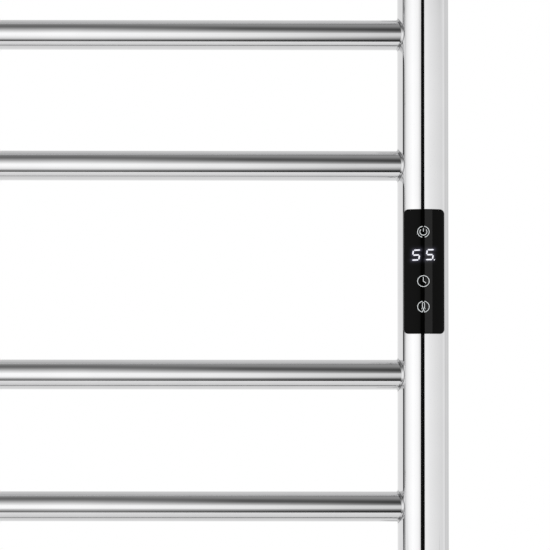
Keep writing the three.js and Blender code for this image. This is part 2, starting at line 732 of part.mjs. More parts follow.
const entry = groupAt(POST_X, 0, -POST_LENGTH / 2);
rack.add(entry);
entry.add(mesh("cable_gland", cableGland(), blackPlastic));
entry.add(mesh("gland_nut", glandNut(), blackPlastic));
entry.add(mesh("earth_tag", earthTag(), springSteel, -EARTH_X, 0, 0));
entry.add(mesh("earth_screw", earthScrew(), brass, -EARTH_X, 0, 0));

export default towelWarmer;
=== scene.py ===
import math
import bmesh
import bpy
import numpy as np
from mathutils import Matrix, Vector


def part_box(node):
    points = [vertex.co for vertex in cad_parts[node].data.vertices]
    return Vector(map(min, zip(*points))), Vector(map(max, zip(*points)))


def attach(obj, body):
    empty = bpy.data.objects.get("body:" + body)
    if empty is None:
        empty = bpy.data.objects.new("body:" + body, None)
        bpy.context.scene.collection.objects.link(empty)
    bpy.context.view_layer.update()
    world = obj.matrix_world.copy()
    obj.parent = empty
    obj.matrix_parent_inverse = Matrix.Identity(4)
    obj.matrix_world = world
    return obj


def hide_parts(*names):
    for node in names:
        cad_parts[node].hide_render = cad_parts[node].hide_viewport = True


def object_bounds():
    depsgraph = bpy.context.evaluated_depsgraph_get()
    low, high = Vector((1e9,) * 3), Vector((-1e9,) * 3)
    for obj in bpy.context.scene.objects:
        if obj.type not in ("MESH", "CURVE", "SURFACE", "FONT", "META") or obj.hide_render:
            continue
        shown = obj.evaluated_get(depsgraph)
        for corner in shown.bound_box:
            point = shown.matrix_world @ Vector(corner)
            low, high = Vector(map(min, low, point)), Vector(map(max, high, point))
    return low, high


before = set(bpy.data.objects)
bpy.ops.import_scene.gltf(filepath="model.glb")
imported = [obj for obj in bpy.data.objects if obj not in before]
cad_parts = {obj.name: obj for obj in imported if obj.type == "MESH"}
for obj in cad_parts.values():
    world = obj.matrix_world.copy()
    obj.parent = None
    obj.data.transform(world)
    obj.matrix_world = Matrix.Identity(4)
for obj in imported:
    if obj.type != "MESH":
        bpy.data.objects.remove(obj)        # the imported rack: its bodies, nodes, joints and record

cad_low, cad_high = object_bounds()


# ---------------------------------------------------------------------------
# Camera
# A long lens on a low stand, a little to the left of the right post and
# pointing slightly up at its controller. Metres and degrees.
# ---------------------------------------------------------------------------
post_low, post_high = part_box("right_post")
post_axis = (post_low + post_high) / 2

STAND_FROM_POST = Vector((-0.1202, -2.0889, -0.0781))
PAN = -0.267
TILT = 2.041
ROLL = -0.049

camera_data = bpy.data.cameras.new("camera")
camera_data.sensor_width = 36.0
camera_data.lens = 183.3
camera_data.clip_start = 0.05
camera_data.clip_end = 60.0
camera = bpy.data.objects.new("camera", camera_data)
bpy.context.scene.collection.objects.link(camera)
aim = (
    Matrix.Rotation(math.radians(PAN), 3, "Z")
    @ Matrix.Rotation(math.radians(TILT), 3, "X")
    @ Matrix.Rotation(math.radians(ROLL), 3, "Y")
    @ Matrix.Rotation(math.radians(90), 3, "X")
)
camera.matrix_world = Matrix.Translation(post_axis + STAND_FROM_POST) @ aim.to_4x4()
bpy.context.scene.camera = camera
bpy.context.scene.view_settings.view_transform = "Standard"


# ---------------------------------------------------------------------------
# Posts
# Two 1 1/2 in stainless tubes, 1.2 mm wall, drawn, welded and mirror polished.
# The right one has a milled window in its front for the controller.
# ---------------------------------------------------------------------------
MM = 0.001
POST_RADIUS = (post_high.x - post_low.x) / 2
POST_WALL = 1.2 * MM
POST_FACETS = 176
WINDOW_FACETS = 39
SHARP = math.radians(38)


def grid_faces(rows, columns, wrap):
    """Quads over a grid of rows and columns, the last column joined to the first where it wraps."""
    across = columns if wrap else columns - 1
    i, j = np.meshgrid(np.arange(rows - 1), np.arange(across), indexing="ij")
    k = (j + 1) % columns
    corners = (i * columns + j, i * columns + k, (i + 1) * columns + k, (i + 1) * columns + j)
    return np.stack(corners, -1).reshape(-1, 4)


def make_piece(name, surfaces, finish, body, nodes=(), values=None):
    """Joins surfaces into one closed mesh and hangs it on a body.

    A surface is a grid of points (rows, columns, 3) and whether its columns close on themselves.
    Edges that meet are merged, so poles and seams close, and the normals are turned outwards.
    values, a number for each point, becomes the attribute "mark" for the finish to read.
    """
    points, faces, start = [], [], 0
    for grid, wrap in surfaces:
        rows, columns = grid.shape[:2]
        points.append(grid.reshape(-1, 3))
        faces.append(grid_faces(rows, columns, wrap) + start)
        start += rows * columns
    mesh = bpy.data.meshes.new(name)
    mesh.from_pydata(np.concatenate(points).tolist(), [], np.concatenate(faces).tolist())
    if values is not None:
        mark = mesh.attributes.new("mark", "FLOAT", "POINT")
        mark.data.foreach_set("value", np.asarray(values, np.float32).ravel())
    work = bmesh.new()
    work.from_mesh(mesh)
    bmesh.ops.remove_doubles(work, verts=work.verts, dist=0.002 * MM)
    bmesh.ops.recalc_face_normals(work, faces=work.faces)
    work.to_mesh(mesh)
    work.free()
    mesh.shade_smooth()
    mesh.set_sharp_from_angle(angle=SHARP)
    mesh.materials.append(finish)
    piece = bpy.data.objects.new(name, mesh)
    bpy.context.scene.collection.objects.link(piece)
    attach(piece, body)
    if nodes:
        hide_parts(*nodes)
    return piece


def on_grid(x, y, z):
    """Points from three arrays that are spread over one another's rows and columns."""
    return np.stack(np.broadcast_arrays(x, y, z), -1)


def turned(profile, facets=96):
    """A profile of (radius, height) pairs carried round the Z axis: x = r cos a, y = r sin a, z = h."""
    r, h = np.array(profile, float).T
    a = np.linspace(0, 2 * math.pi, facets, endpoint=False)
    return on_grid(np.outer(r, np.cos(a)), np.outer(r, np.sin(a)), h[:, None])


def ringed(a, rings):
    """A ring round the Z axis for each (radius, height); both may change over the angles a."""
    return np.stack([on_grid(r * np.cos(a), r * np.sin(a), h) for r, h in rings])


def link(tree, source, target):
    """Joins an output to an input."""
    tree.links.new(source, target)


def new_finish(name, color, metallic, roughness):
    """A Principled material, its node tree and its shader node."""
    finish = bpy.data.materials.new(name)
    finish.use_nodes = True
    tree = finish.node_tree
    shader = tree.nodes["Principled BSDF"]
    shader.inputs["Base Color"].default_value = (*color, 1)
    shader.inputs["Metallic"].default_value = metallic
    shader.inputs["Roughness"].default_value = roughness
    return finish, tree, shader


def noise_on_object(tree, scale, stretch=(1, 1, 1), detail=3.0):
    """Noise on the piece's own coordinates, stretched along an axis where that number is small."""
    place = tree.nodes.new("ShaderNodeTexCoord")
    mapping = tree.nodes.new("ShaderNodeMapping")
    mapping.inputs["Scale"].default_value = stretch
    noise = tree.nodes.new("ShaderNodeTexNoise")
    noise.inputs["Scale"].default_value = scale
    noise.inputs["Detail"].default_value = detail
    link(tree, place.outputs["Object"], mapping.inputs["Vector"])
    link(tree, mapping.outputs["Vector"], noise.inputs["Vector"])
    return noise.outputs["Fac"]


def graded(tree, value, start, end, low=0.0, high=1.0):
    """low up to the value start, high from the value end on, and a straight rise between."""
    node = tree.nodes.new("ShaderNodeMapRange")
    node.inputs["From Min"].default_value = start
    node.inputs["From Max"].default_value = end
    node.inputs["To Min"].default_value = low
    node.inputs["To Max"].default_value = high
    link(tree, value, node.inputs["Value"])
    return node.outputs["Result"]


NOISE_LOW, NOISE_HIGH = 0.3, 0.7     # nearly all of a noise lies between these


def spread(tree, noise, low, high):
    """The noise drawn out to low..high."""
    return graded(tree, noise, NOISE_LOW, NOISE_HIGH, low, high)


def tint(tree, noise, dark, light):
    """A colour between dark and light, by the noise."""
    ramp = tree.nodes.new("ShaderNodeValToRGB")
    first, last = ramp.color_ramp.elements
    first.position, first.color = NOISE_LOW, (*dark, 1)
    last.position, last.color = NOISE_HIGH, (*light, 1)
    link(tree, noise, ramp.inputs["Fac"])
    return ramp.outputs["Color"]


def dimple(tree, shader, factor, strength, distance):
    """A bump from the factor, its height in metres."""
    bump = tree.nodes.new("ShaderNodeBump")
    bump.inputs["Strength"].default_value = strength
    bump.inputs["Distance"].default_value = distance
    link(tree, factor, bump.inputs["Height"])
    link(tree, bump.outputs["Normal"], shader.inputs["Normal"])


def mirror_steel(name, grain):
    """Mirror polished stainless steel: nearly no roughness, with faint polishing haze along the grain."""
    finish, tree, shader = new_finish(name, (0.69, 0.69, 0.695), 1.0, 0.03)
    haze = noise_on_object(tree, 900, grain, 2.0)
    link(tree, spread(tree, haze, 0.018, 0.05), shader.inputs["Roughness"])
    cloud = noise_on_object(tree, 35, (1, 1, 1), 2.0)
    link(tree, tint(tree, cloud, (0.68, 0.68, 0.686), (0.70, 0.70, 0.705)), shader.inputs["Base Color"])
    return finish


polished_upright = mirror_steel("polished_steel_upright", (1, 1, 0.03))

cover_low, cover_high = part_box("control_cover")
tray_low, tray_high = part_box("control_tray")
WINDOW_HALF_WIDTH = (tray_high.x - tray_low.x) / 2 + 0.5 * MM
WINDOW_HALF_HEIGHT = (tray_high.z - tray_low.z) / 2 + 1.0 * MM
controller_z = (tray_low.z + tray_high.z) / 2


def post_tube(axis_x, low, high, window):
    """Outer and inner wall as grids of angle and height, with rims between them.

    Angles are measured from straight ahead: x = axis + r sin a, y = axis - r cos a. A windowed post
    leaves out the cells of its front between the window's sides and gets a rim round the opening.
    """
    def walls(angles, heights):
        """The outer and the inner wall over the same angles and heights."""
        radii = (POST_RADIUS, POST_RADIUS - POST_WALL)
        across = [(axis_x + r * np.sin(angles), post_axis.y - r * np.cos(angles)) for r in radii]
        return [on_grid(x, y, heights[:, None]) for x, y in across]

    if not window:
        turn = np.linspace(0, 2 * math.pi, POST_FACETS, endpoint=False)
        outer, inner = walls(turn, np.linspace(low, high, 12))
        rims = [np.stack([outer[end], inner[end]]) for end in (0, -1)]
        return [(grid, True) for grid in (outer, inner, *rims)]

    half = math.asin(WINDOW_HALF_WIDTH / POST_RADIUS)
    front = np.linspace(-half, half, WINDOW_FACETS + 1)
    back = np.linspace(half, 2 * math.pi - half, POST_FACETS - WINDOW_FACETS)
    turn = np.concatenate([front[:-1], back[:-1]])
    sill, head = controller_z - WINDOW_HALF_HEIGHT, controller_z + WINDOW_HALF_HEIGHT
    parts = []
    for heights, end, opening in ((np.linspace(low, sill, 6), 0, -1), (np.linspace(head, high, 6), -1, 0)):
        outer, inner = walls(turn, heights)
        parts += [(outer, True), (inner, True), (np.stack([outer[end], inner[end]]), True)]
        width = slice(WINDOW_FACETS + 1)
        parts.append((np.stack([outer[opening, width], inner[opening, width]]), False))
    outer, inner = walls(back, np.linspace(sill, head, 5))
    parts += [(outer, False), (inner, False)]
    parts += [(np.stack([outer[:, end], inner[:, end]]), False) for end in (0, -1)]
    return parts


for side in ("left", "right"):
    node = side + "_post"
    low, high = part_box(node)
    surfaces = post_tube((low.x + high.x) / 2, low.z, high.z, side == "right")
    make_piece(node + "_tube", surfaces, polished_upright, "rack", [node])


# ---------------------------------------------------------------------------
# End caps
# Turned stainless discs with a rounded rim, pressed into the posts' ends on a
# short collar and polished with them. The right bottom one takes the gland.
# ---------------------------------------------------------------------------
CAP_RIM_ROUND = 2.0 * MM
CAP_COLLAR_RADIUS = 17.2 * MM
CAP_COLLAR_WALL = 1.4 * MM
CAP_COLLAR_DEPTH = 8.0 * MM
CAP_EDGE = 0.12 * MM
SEAM = 0.3 * MM
GLAND_HOLE_RADIUS = 6.6 * MM


def rounded(corner_r, corner_h, radius, start, end, steps=8):
    """Points of an arc about (corner_r, corner_h), from one angle to another in degrees."""
    a = np.radians(np.linspace(start, end, steps + 1))
    return [(corner_r + radius * math.cos(t), corner_h + radius * math.sin(t)) for t in a]


def placed(grid, x_axis, y_axis, z_axis, origin):
    """The grid's points with their axes turned to the given ones and moved to origin."""
    return grid @ np.array([x_axis, y_axis, z_axis], float) + np.array(origin, float)


X, Y, Z = (1, 0, 0), (0, 1, 0), (0, 0, 1)
BACKWARD, OFF_WALL, DOWN = (-1, 0, 0), (0, -1, 0), (0, 0, -1)

for side in ("left", "right"):
    for end, up in (("top", Z), ("bottom", DOWN)):
        node = f"{side}_post_{end}_cap"
        low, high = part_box(node)
        tube_low, tube_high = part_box(side + "_post")
        seat = tube_high.z if end == "top" else tube_low.z
        rise = abs((high.z if end == "top" else low.z) - seat)
        hole = GLAND_HOLE_RADIUS if node == "right_post_bottom_cap" else 0.0
        collar_bore = CAP_COLLAR_RADIUS - CAP_COLLAR_WALL
        rim = POST_RADIUS - CAP_EDGE
        crown = POST_RADIUS - CAP_RIM_ROUND
        profile = [(hole, 0), (collar_bore, 0), (collar_bore, -CAP_COLLAR_DEPTH)]
        profile += [(CAP_COLLAR_RADIUS, -CAP_COLLAR_DEPTH), (CAP_COLLAR_RADIUS, SEAM / 3), (rim, SEAM / 3)]
        profile += rounded(rim, SEAM / 3 + CAP_EDGE, CAP_EDGE, -90, 0, 3)
        profile += rounded(crown, rise - CAP_RIM_ROUND, CAP_RIM_ROUND, 0, 90)
        profile += [(crown / 2, rise), (hole, rise)] + ([(hole, 0)] if hole else [])
        middle = ((low.x + high.x) / 2, (low.y + high.y) / 2, seat)
        grid = placed(turned(profile, 120), X if up == Z else BACKWARD, Y, up, middle)
        make_piece(node + "_turned", [(grid, True)], polished_upright, "rack", [node])


# ---------------------------------------------------------------------------
# Bars
# Six 7/8 in stainless tubes, 1 mm wall, mirror polished. Their ends are
# saddle-cut to the posts' round sides and welded there.
# ---------------------------------------------------------------------------
BAR_WALL = 1.0 * MM
BAR_FACETS = 128
BAR_ROOT = 0.05 * MM
polished_level = mirror_steel("polished_steel_level", (0.03, 1, 1))
bars = [f"bar_{number}" for number in range(1, 7)]


def bar_tube(low, high):
    """Outer and inner wall: angle round the bar, and along it from saddle to saddle.

    An end's x is where the post's round side stands at that distance from the post's middle plane.
    """
    middle_y, middle_z = (low.y + high.y) / 2, (low.z + high.z) / 2
    radius = (high.z - low.z) / 2
    turn = np.linspace(0, 2 * math.pi, BAR_FACETS, endpoint=False)
    share = np.linspace(-1, 1, 14)[:, None]
    walls = []
    for r in (radius, radius - BAR_WALL):
        y, z = r * np.cos(turn), r * np.sin(turn)
        reach = post_axis.x - np.sqrt(POST_RADIUS**2 - y**2) - BAR_ROOT
        walls.append(on_grid(share * reach, middle_y + y, middle_z + z))
    rims = [np.stack([walls[0][end], walls[1][end]]) for end in (0, -1)]
    return [(grid, True) for grid in (*walls, *rims)]


for bar in bars:
    make_piece(bar + "_tube", bar_tube(*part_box(bar)), polished_level, "rack", [bar])


# ---------------------------------------------------------------------------
# Welds
# Fusion welds round every bar and spindle end, ground to a small hollow
# fillet and polished with the tubes.
# ---------------------------------------------------------------------------
WELD_LEG = 1.15 * MM
WELD_ROWS = 13
WELD_UNDER = 0.35 * MM
WELD_FILM_REACH = 0.5 * MM
WELD_FILM = 0.012 * MM
WELD_SHADE_GREY = (0.19, 0.19, 0.195, 1)


def mark_of(tree):
    """What make_piece was told of each point."""
    node = tree.nodes.new("ShaderNodeAttribute")
    node.attribute_name = "mark"
    return node.outputs["Fac"]


def mixed(tree, kind, factor, first, second):
    """Two sockets, or a socket and a plain value, mixed by the factor."""
    node = tree.nodes.new("ShaderNodeMix")
    node.data_type = kind
    link(tree, factor, node.inputs["Factor"])
    link(tree, first, node.inputs["A"])
    if isinstance(second, tuple):
        node.inputs["B"].default_value = second
    else:
        link(tree, second, node.inputs["B"])
    return node.outputs["Result"]


# Painted shade: the weld's colour falls toward a dark grey by its mark, in the fillet's hollow and along its
# toe, standing in for the dark reflection there.
weld_steel = mirror_steel("polished_weld", (1, 1, 1))
tree = weld_steel.node_tree
weld_color = tree.nodes["Principled BSDF"].inputs["Base Color"]
polished = weld_color.links[0].from_socket
link(tree, mixed(tree, "RGBA", mark_of(tree), polished, WELD_SHADE_GREY), weld_color)


def weld_ring(radius, leg):
    """A hollow fillet between a rod along +Z and the post's round side, seen with the post axis along X.

    Round the rod, at angle a, the section runs from the rod at height leg down to the post at
    distance leg: distance r = radius + leg (1 - cos t), height leg (1 - sin t) above the post's side,
    whose own height is sqrt(R^2 - (r sin a)^2) over the post axis. A thin polished film runs a little
    further out on the post, darkened with the fillet by painted shade, and the section closes just under
    both.
    """
    a = np.linspace(0, 2 * math.pi, 128, endpoint=False)
    t = np.linspace(0, math.pi / 2, WELD_ROWS)
    edge, root = radius + leg + WELD_FILM_REACH, radius - WELD_UNDER
    r = np.concatenate([radius + leg * (1 - np.cos(t)), [edge, edge, root, root, radius]])
    under = -WELD_UNDER / 3
    lift = np.concatenate([leg * (1 - np.sin(t)) + WELD_FILM, [WELD_FILM, under, under, leg, leg]])
    x, y = np.outer(r, np.cos(a)), np.outer(r, np.sin(a))
    return on_grid(x, y, np.sqrt(POST_RADIUS**2 - y**2) + lift[:, None])


def weld_painted_shade(ring):
    """How much painted shade each point gets, standing in for the dark reflection in the fillet: 0 bright to
    1, most in the hollow above and below the rod.

    With share = |x| / r, the point's height over the rod's middle, it rises over 0.56 to 0.68 and falls
    over 0.8 to 0.9. Along the toe on the post's side it is never under 0.8.
    """
    share = np.abs(ring[..., 0]) / np.hypot(ring[..., 0], ring[..., 1])
    hollow = np.clip((share - 0.56) / 0.12, 0, 1) * np.clip((0.9 - share) / 0.1, 0, 1)
    toe = np.zeros(len(ring))
    toe[: WELD_ROWS - 2] = 0.25
    toe[WELD_ROWS - 2 : WELD_ROWS + 2] = 0.8
    return np.maximum(hollow, toe[:, None])


for bar in bars:
    low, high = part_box(bar)
    height = (low.z + high.z) / 2
    ring = weld_ring((high.z - low.z) / 2, WELD_LEG)
    for side, inward in (("left", 1), ("right", -1)):
        origin = (-inward * post_axis.x, post_axis.y, height)
        grid = placed(ring, Z, (0, inward, 0), (inward, 0, 0), origin)
        name = f"weld_{bar}_{side}"
        make_piece(name, [(grid, True)], weld_steel, "rack", (), weld_painted_shade(ring))


# ---------------------------------------------------------------------------
# Spindles
# Solid 16 mm stainless rods, one end saddle-cut and welded to a post's back,
# the other chamfered to slide into its wall socket.
# ---------------------------------------------------------------------------
SPINDLE_CHAMFER = 0.8 * MM
corners = [f"{end}_{side}" for end in ("top", "bottom") for side in ("left", "right")]


def spindle_rod(radius, reach):
    """A rod along +Z from the post's side out to reach, with a chamfered end closed at its middle."""
    a = np.linspace(0, 2 * math.pi, 96, endpoint=False)
    foot = np.sqrt(POST_RADIUS**2 - (radius * np.sin(a)) ** 2)
    rings = [(0.0, POST_RADIUS - 0.4 * MM), (radius, foot)]
    rings += [(radius, reach - SPINDLE_CHAMFER), (radius - SPINDLE_CHAMFER, reach), (0.0, reach)]
    return ringed(a, rings)


for corner in corners:
    node = "spindle_" + corner
    low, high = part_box(node)
    radius = (high.z - low.z) / 2
    origin = ((low.x + high.x) / 2, post_axis.y, (low.z + high.z) / 2)
    rod = placed(spindle_rod(radius, high.y - post_axis.y), Z, X, Y, origin)
    make_piece(node + "_rod", [(rod, True)], polished_level, "rack", [node])
    ring = weld_ring(radius, WELD_LEG)
    grid = placed(ring, Z, X, Y, origin)
    painted_shade_marks = weld_painted_shade(ring)
    make_piece("weld_" + node, [(grid, True)], weld_steel, "rack", (), painted_shade_marks)


# ---------------------------------------------------------------------------
# Wall plates
# Turned stainless plates with a long boss, screwed to the wall through three
# countersunk holes. The boss's socket takes the spindle, its side the set screw.
# ---------------------------------------------------------------------------
PLATE_THICKNESS = 4.0 * MM
BOSS_RADIUS = 13.0 * MM
SOCKET_RADIUS = 8.4 * MM
SOCKET_FLOOR = 6.0 * MM
EDGE_BREAK = 0.5 * MM
SCREW_CIRCLE = 19.0 * MM
SCREW_HOLE = 2.4 * MM
SINK_RADIUS = 4.2 * MM
GRUB_FROM_WALL = 25.0 * MM
GRUB_HOLE = 2.7 * MM
GRUB_PATCH = 4.0 * MM
BOSS_FILLET = 1.5 * MM
BOSS_ROUND = 1.0 * MM
HOLED_HALF = 27                      # degrees to either side of a hole, the piece that is made with it


def object_axis(tree, axis):
    """One of the piece's own coordinates."""
    place = tree.nodes.new("ShaderNodeTexCoord")
    axes = tree.nodes.new("ShaderNodeSeparateXYZ")
    link(tree, place.outputs["Object"], axes.inputs["Vector"])
    return axes.outputs[axis]


def lathed_steel(name):
    """Mirror steel, but satin where the lathe left the back that lies against the wall."""
    finish = mirror_steel(name, (1, 0.05, 1))
    tree = finish.node_tree
    at_back = graded(tree, object_axis(tree, "Y"), -0.25 * MM, -0.05 * MM)
    scratch = noise_on_object(tree, 260, (1, 1, 9), 3.0)
    satin = {
        "Roughness": ("FLOAT", spread(tree, scratch, 0.32, 0.46)),
        "Base Color": ("RGBA", tint(tree, scratch, (0.40, 0.40, 0.405), (0.52, 0.52, 0.527))),
    }
    for name_of_socket, (kind, rougher) in satin.items():
        socket = tree.nodes["Principled BSDF"].inputs[name_of_socket]
        polished = socket.links[0].from_socket
        link(tree, mixed(tree, kind, at_back, polished, rougher), socket)
    return finish


def arc_steps(start, end):
    """Angles in radians every three degrees, both ends included."""
    return np.radians(np.arange(start, end + 1, 3))


def patch_outline(along, up):
    """Pairs round a patch's edge: along its low side, up, back along its high side, and down."""
    rise = up[1:-1]
    first = np.concatenate([along, 0 * rise + along[-1], along[::-1], 0 * rise + along[0]])
    second = np.concatenate([0 * along + up[0], rise, 0 * along + up[-1], rise[::-1]])
    return first, second


def screw_sector(inner, outer, middle):
    """A countersunk hole in its piece of the plate: rows from the front's outline into the hole and back out.

    A point of a hole lies on its circle in the direction of the outline's point in the same column.
    """
    along = arc_steps(middle - HOLED_HALF, middle + HOLED_HALF)
    a, r = patch_outline(along, np.linspace(inner, outer, 5))
    outline = np.stack([r * np.cos(a), r * np.sin(a)], -1)
    center = SCREW_CIRCLE * np.array([math.cos(math.radians(middle)), math.sin(math.radians(middle))])
    toward = outline - center
    toward /= np.linalg.norm(toward, axis=1)[:, None]
    sink = PLATE_THICKNESS - (SINK_RADIUS - SCREW_HOLE)
    rows = [(outline, PLATE_THICKNESS), (center + SINK_RADIUS * toward, PLATE_THICKNESS)]
    rows += [(center + SCREW_HOLE * toward, sink), (center + SCREW_HOLE * toward, 0.0), (outline, 0.0)]
    return np.stack([on_grid(p[:, 0], p[:, 1], h) for p, h in rows])


def plain_sector(inner, outer, start, end, height):
    """The flat ring between two screws' pieces, at one height: radius by angle."""
    a = arc_steps(start, end)
    r = np.linspace(inner, outer, 5)[:, None]
    return on_grid(r * np.cos(a), r * np.sin(a), height)


def grub_patch(low, high):
    """The threaded hole through the boss's underside: outer wall's outline, hole, inner wall's outline.

    Heights low to high by HOLED_HALF to either side; a hole's point keeps its column's direction.
    """
    along = arc_steps(270 - HOLED_HALF, 270 + HOLED_HALF)
    a, h = patch_outline(along, np.linspace(low, high, 5))
    turn = np.arctan2(h - GRUB_FROM_WALL, BOSS_RADIUS * (a - math.radians(270)))
    hole_x, hole_h = GRUB_HOLE * np.cos(turn), GRUB_FROM_WALL + GRUB_HOLE * np.sin(turn)
    rows = []
    for radius in (BOSS_RADIUS, SOCKET_RADIUS):
        edge_x = radius * np.cos(a)
        edge = on_grid(edge_x, -np.sqrt(radius**2 - edge_x**2), h)
        hole = on_grid(hole_x, -np.sqrt(radius**2 - hole_x**2), hole_h)
        rows += [edge, hole] if radius == BOSS_RADIUS else [hole, edge]
    return np.stack(rows)


def wall_plate(radius, length):
    """Turned back, rim, boss and socket, with the holed pieces let in between them."""
    inner, outer = BOSS_RADIUS + BOSS_FILLET, radius - EDGE_BREAK
    low, high = GRUB_FROM_WALL - GRUB_PATCH, GRUB_FROM_WALL + GRUB_PATCH
    back = [(0, 0), (inner, 0)]
    rim = [(outer, 0), (radius, 0)]
    rim += rounded(radius - EDGE_BREAK, PLATE_THICKNESS - EDGE_BREAK, EDGE_BREAK, 0, 90, 4)
    boss = rounded(inner, PLATE_THICKNESS + BOSS_FILLET, BOSS_FILLET, 270, 180, 6) + [(BOSS_RADIUS, low)]
    mouth = [(BOSS_RADIUS, high)]
    mouth += rounded(BOSS_RADIUS - BOSS_ROUND, length - BOSS_ROUND, BOSS_ROUND, 0, 90, 6)
    mouth += rounded(SOCKET_RADIUS + EDGE_BREAK, length - EDGE_BREAK, EDGE_BREAK, 90, 180, 4)
    mouth += [(SOCKET_RADIUS, high)]
    socket = [(SOCKET_RADIUS, low), (SOCKET_RADIUS, SOCKET_FLOOR), (0, SOCKET_FLOOR)]
    surfaces = [(turned(profile, 120), True) for profile in (back, rim, boss, mouth, socket)]
    rest = arc_steps(270 + HOLED_HALF, 630 - HOLED_HALF)
    heights = np.linspace(low, high, 5)[:, None]
    for r in (BOSS_RADIUS, SOCKET_RADIUS):
        surfaces.append((on_grid(r * np.cos(rest), r * np.sin(rest), heights), False))
    surfaces.append((grub_patch(low, high), True))
    for middle in (90, 210, 330):
        surfaces.append((screw_sector(inner, outer, middle), True))
        start, end = middle + HOLED_HALF, middle + 120 - HOLED_HALF
        for height in (0.0, PLATE_THICKNESS):
            surfaces.append((plain_sector(inner, outer, start, end, height), False))
    return surfaces


plate_steel = lathed_steel("polished_steel_plate")

for corner in corners:
    node = "wall_plate_" + corner
    low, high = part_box(node)
    origin = ((low.x + high.x) / 2, high.y, (low.z + high.z) / 2)
    made = wall_plate((high.x - low.x) / 2, high.y - low.y)
    made = [(placed(grid, X, Z, OFF_WALL, origin), wrap) for grid, wrap in made]
    make_piece(node + "_turned", made, plate_steel, "wall_side", [node])


# ---------------------------------------------------------------------------
# Escutcheons
# Spun stainless roses, 1.2 mm thick, with a rolled-over rim. Each slides along
# the boss against the wall and hides the plate and its screws.
# ---------------------------------------------------------------------------
ROSE_WALL = 1.2 * MM
ROSE_ROUND = 4.0 * MM
ROSE_DOME = 0.7 * MM
ROSE_CLEARANCE = 0.6 * MM
ROSE_LIP = 0.6 * MM
turned_steel = mirror_steel("polished_steel_turned", (1, 0.05, 1))

for corner in corners:
    node = "escutcheon_" + corner
    low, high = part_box(node)
    radius, depth = (high.x - low.x) / 2, high.y - low.y
    bore = BOSS_RADIUS + ROSE_CLEARANCE
    shoulder = depth - ROSE_DOME
    profile = [(radius - ROSE_WALL, 0), (radius, 0)]
    profile += rounded(radius - ROSE_ROUND, shoulder - ROSE_ROUND, ROSE_ROUND, 0, 80, 10)
    run = np.linspace(0, 1, 9)[1:]
    last_r, last_h = profile[-1]
    lip = bore + ROSE_LIP
    profile += [(last_r + (lip - last_r) * s, last_h + (depth - last_h) * (1 - (1 - s) ** 2)) for s in run]
    profile += rounded(lip, depth - ROSE_LIP, ROSE_LIP, 90, 180, 4)[1:]
    profile += [(bore, depth - ROSE_WALL), (radius - ROSE_ROUND, shoulder - ROSE_WALL)]
    profile += rounded(radius - ROSE_ROUND, shoulder - ROSE_ROUND, ROSE_ROUND - ROSE_WALL, 80, 0, 6)
    profile += [(radius - ROSE_WALL, 0)]
    origin = ((low.x + high.x) / 2, high.y, (low.z + high.z) / 2)
    grid = placed(turned(profile, 144), X, Z, OFF_WALL, origin)
    make_piece(node + "_spun", [(grid, True)], turned_steel, "wall_side", [node])


# ---------------------------------------------------------------------------
# Set screws
# M5 grub screws, black oxide steel, screwed up into the bosses from below to
# clamp the spindles. A hexagon socket faces down.
# ---------------------------------------------------------------------------
black_oxide, tree, shader = new_finish("black_oxide_steel", (0.045, 0.045, 0.05), 1.0, 0.38)
mottle = noise_on_object(tree, 1500, (1, 1, 1), 3.0)
link(tree, spread(tree, mottle, 0.3, 0.5), shader.inputs["Roughness"])
link(tree, tint(tree, mottle, (0.035, 0.035, 0.04), (0.06, 0.06, 0.066)), shader.inputs["Base Color"])

THREAD_PITCH = 0.8 * MM
THREAD_DEPTH = 0.35 * MM
THREAD_LEAD = 0.3 * MM
SCREW_TIP = 0.6 * MM
HEXAGON_RADIUS = 1.45 * MM
HEXAGON_DEPTH = 2.0 * MM


def set_screw(radius, length):
    """A threaded rod from z = 0 up to length, its socket in the top.

    The thread is a helix: the radius falls by a triangle wave of height over pitch minus turns round.
    The socket's radius follows a hexagon: apothem over the cosine of the angle to the nearest flat.
    """
    a = np.linspace(0, 2 * math.pi, 48, endpoint=False)
    z = np.linspace(THREAD_LEAD, length - THREAD_LEAD, 34)[:, None]
    wave = np.abs(((z / THREAD_PITCH - a / (2 * math.pi)) % 1.0) - 0.5) * 2
    r = radius - THREAD_DEPTH * wave
    thread = on_grid(r * np.cos(a), r * np.sin(a), z)
    flat_angle = (a + math.pi / 6) % (math.pi / 3) - math.pi / 6
    key = HEXAGON_RADIUS * math.cos(math.pi / 6) / np.cos(flat_angle)
    tip = radius - SCREW_TIP
    point = [(0, 0.0), (tip, 0.0)]
    head = [(tip, length), (key, length), (key, length - HEXAGON_DEPTH), (0, length - HEXAGON_DEPTH)]
    return np.concatenate([ringed(a, point), thread, ringed(a, head)])


for corner in corners:
    node = "grub_screw_" + corner
    low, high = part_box(node)
    grid = set_screw((high.x - low.x) / 2, high.z - low.z)
    origin = ((low.x + high.x) / 2, (low.y + high.y) / 2, high.z)
    grid = placed(grid, BACKWARD, Y, DOWN, origin)
    make_piece(node + "_threaded", [(grid, True)], black_oxide, "wall_side", [node])


# ---------------------------------------------------------------------------
# Controller lens
# Black polymer moulded to the post's curve, 1.6 mm thick, high gloss, with a
# softened rim. The display's light spreads a little in it round the digits.
# ---------------------------------------------------------------------------
LENS_OUTER = post_axis.y - cover_low.y
LENS_THICKNESS = 1.6 * MM
LENS_CORNER = 3.5 * MM
LENS_EDGE = 0.9 * MM
lens_half_width = (cover_high.x - cover_low.x) / 2
lens_half_height = (cover_high.z - cover_low.z) / 2
lens_z = (cover_low.z + cover_high.z) / 2

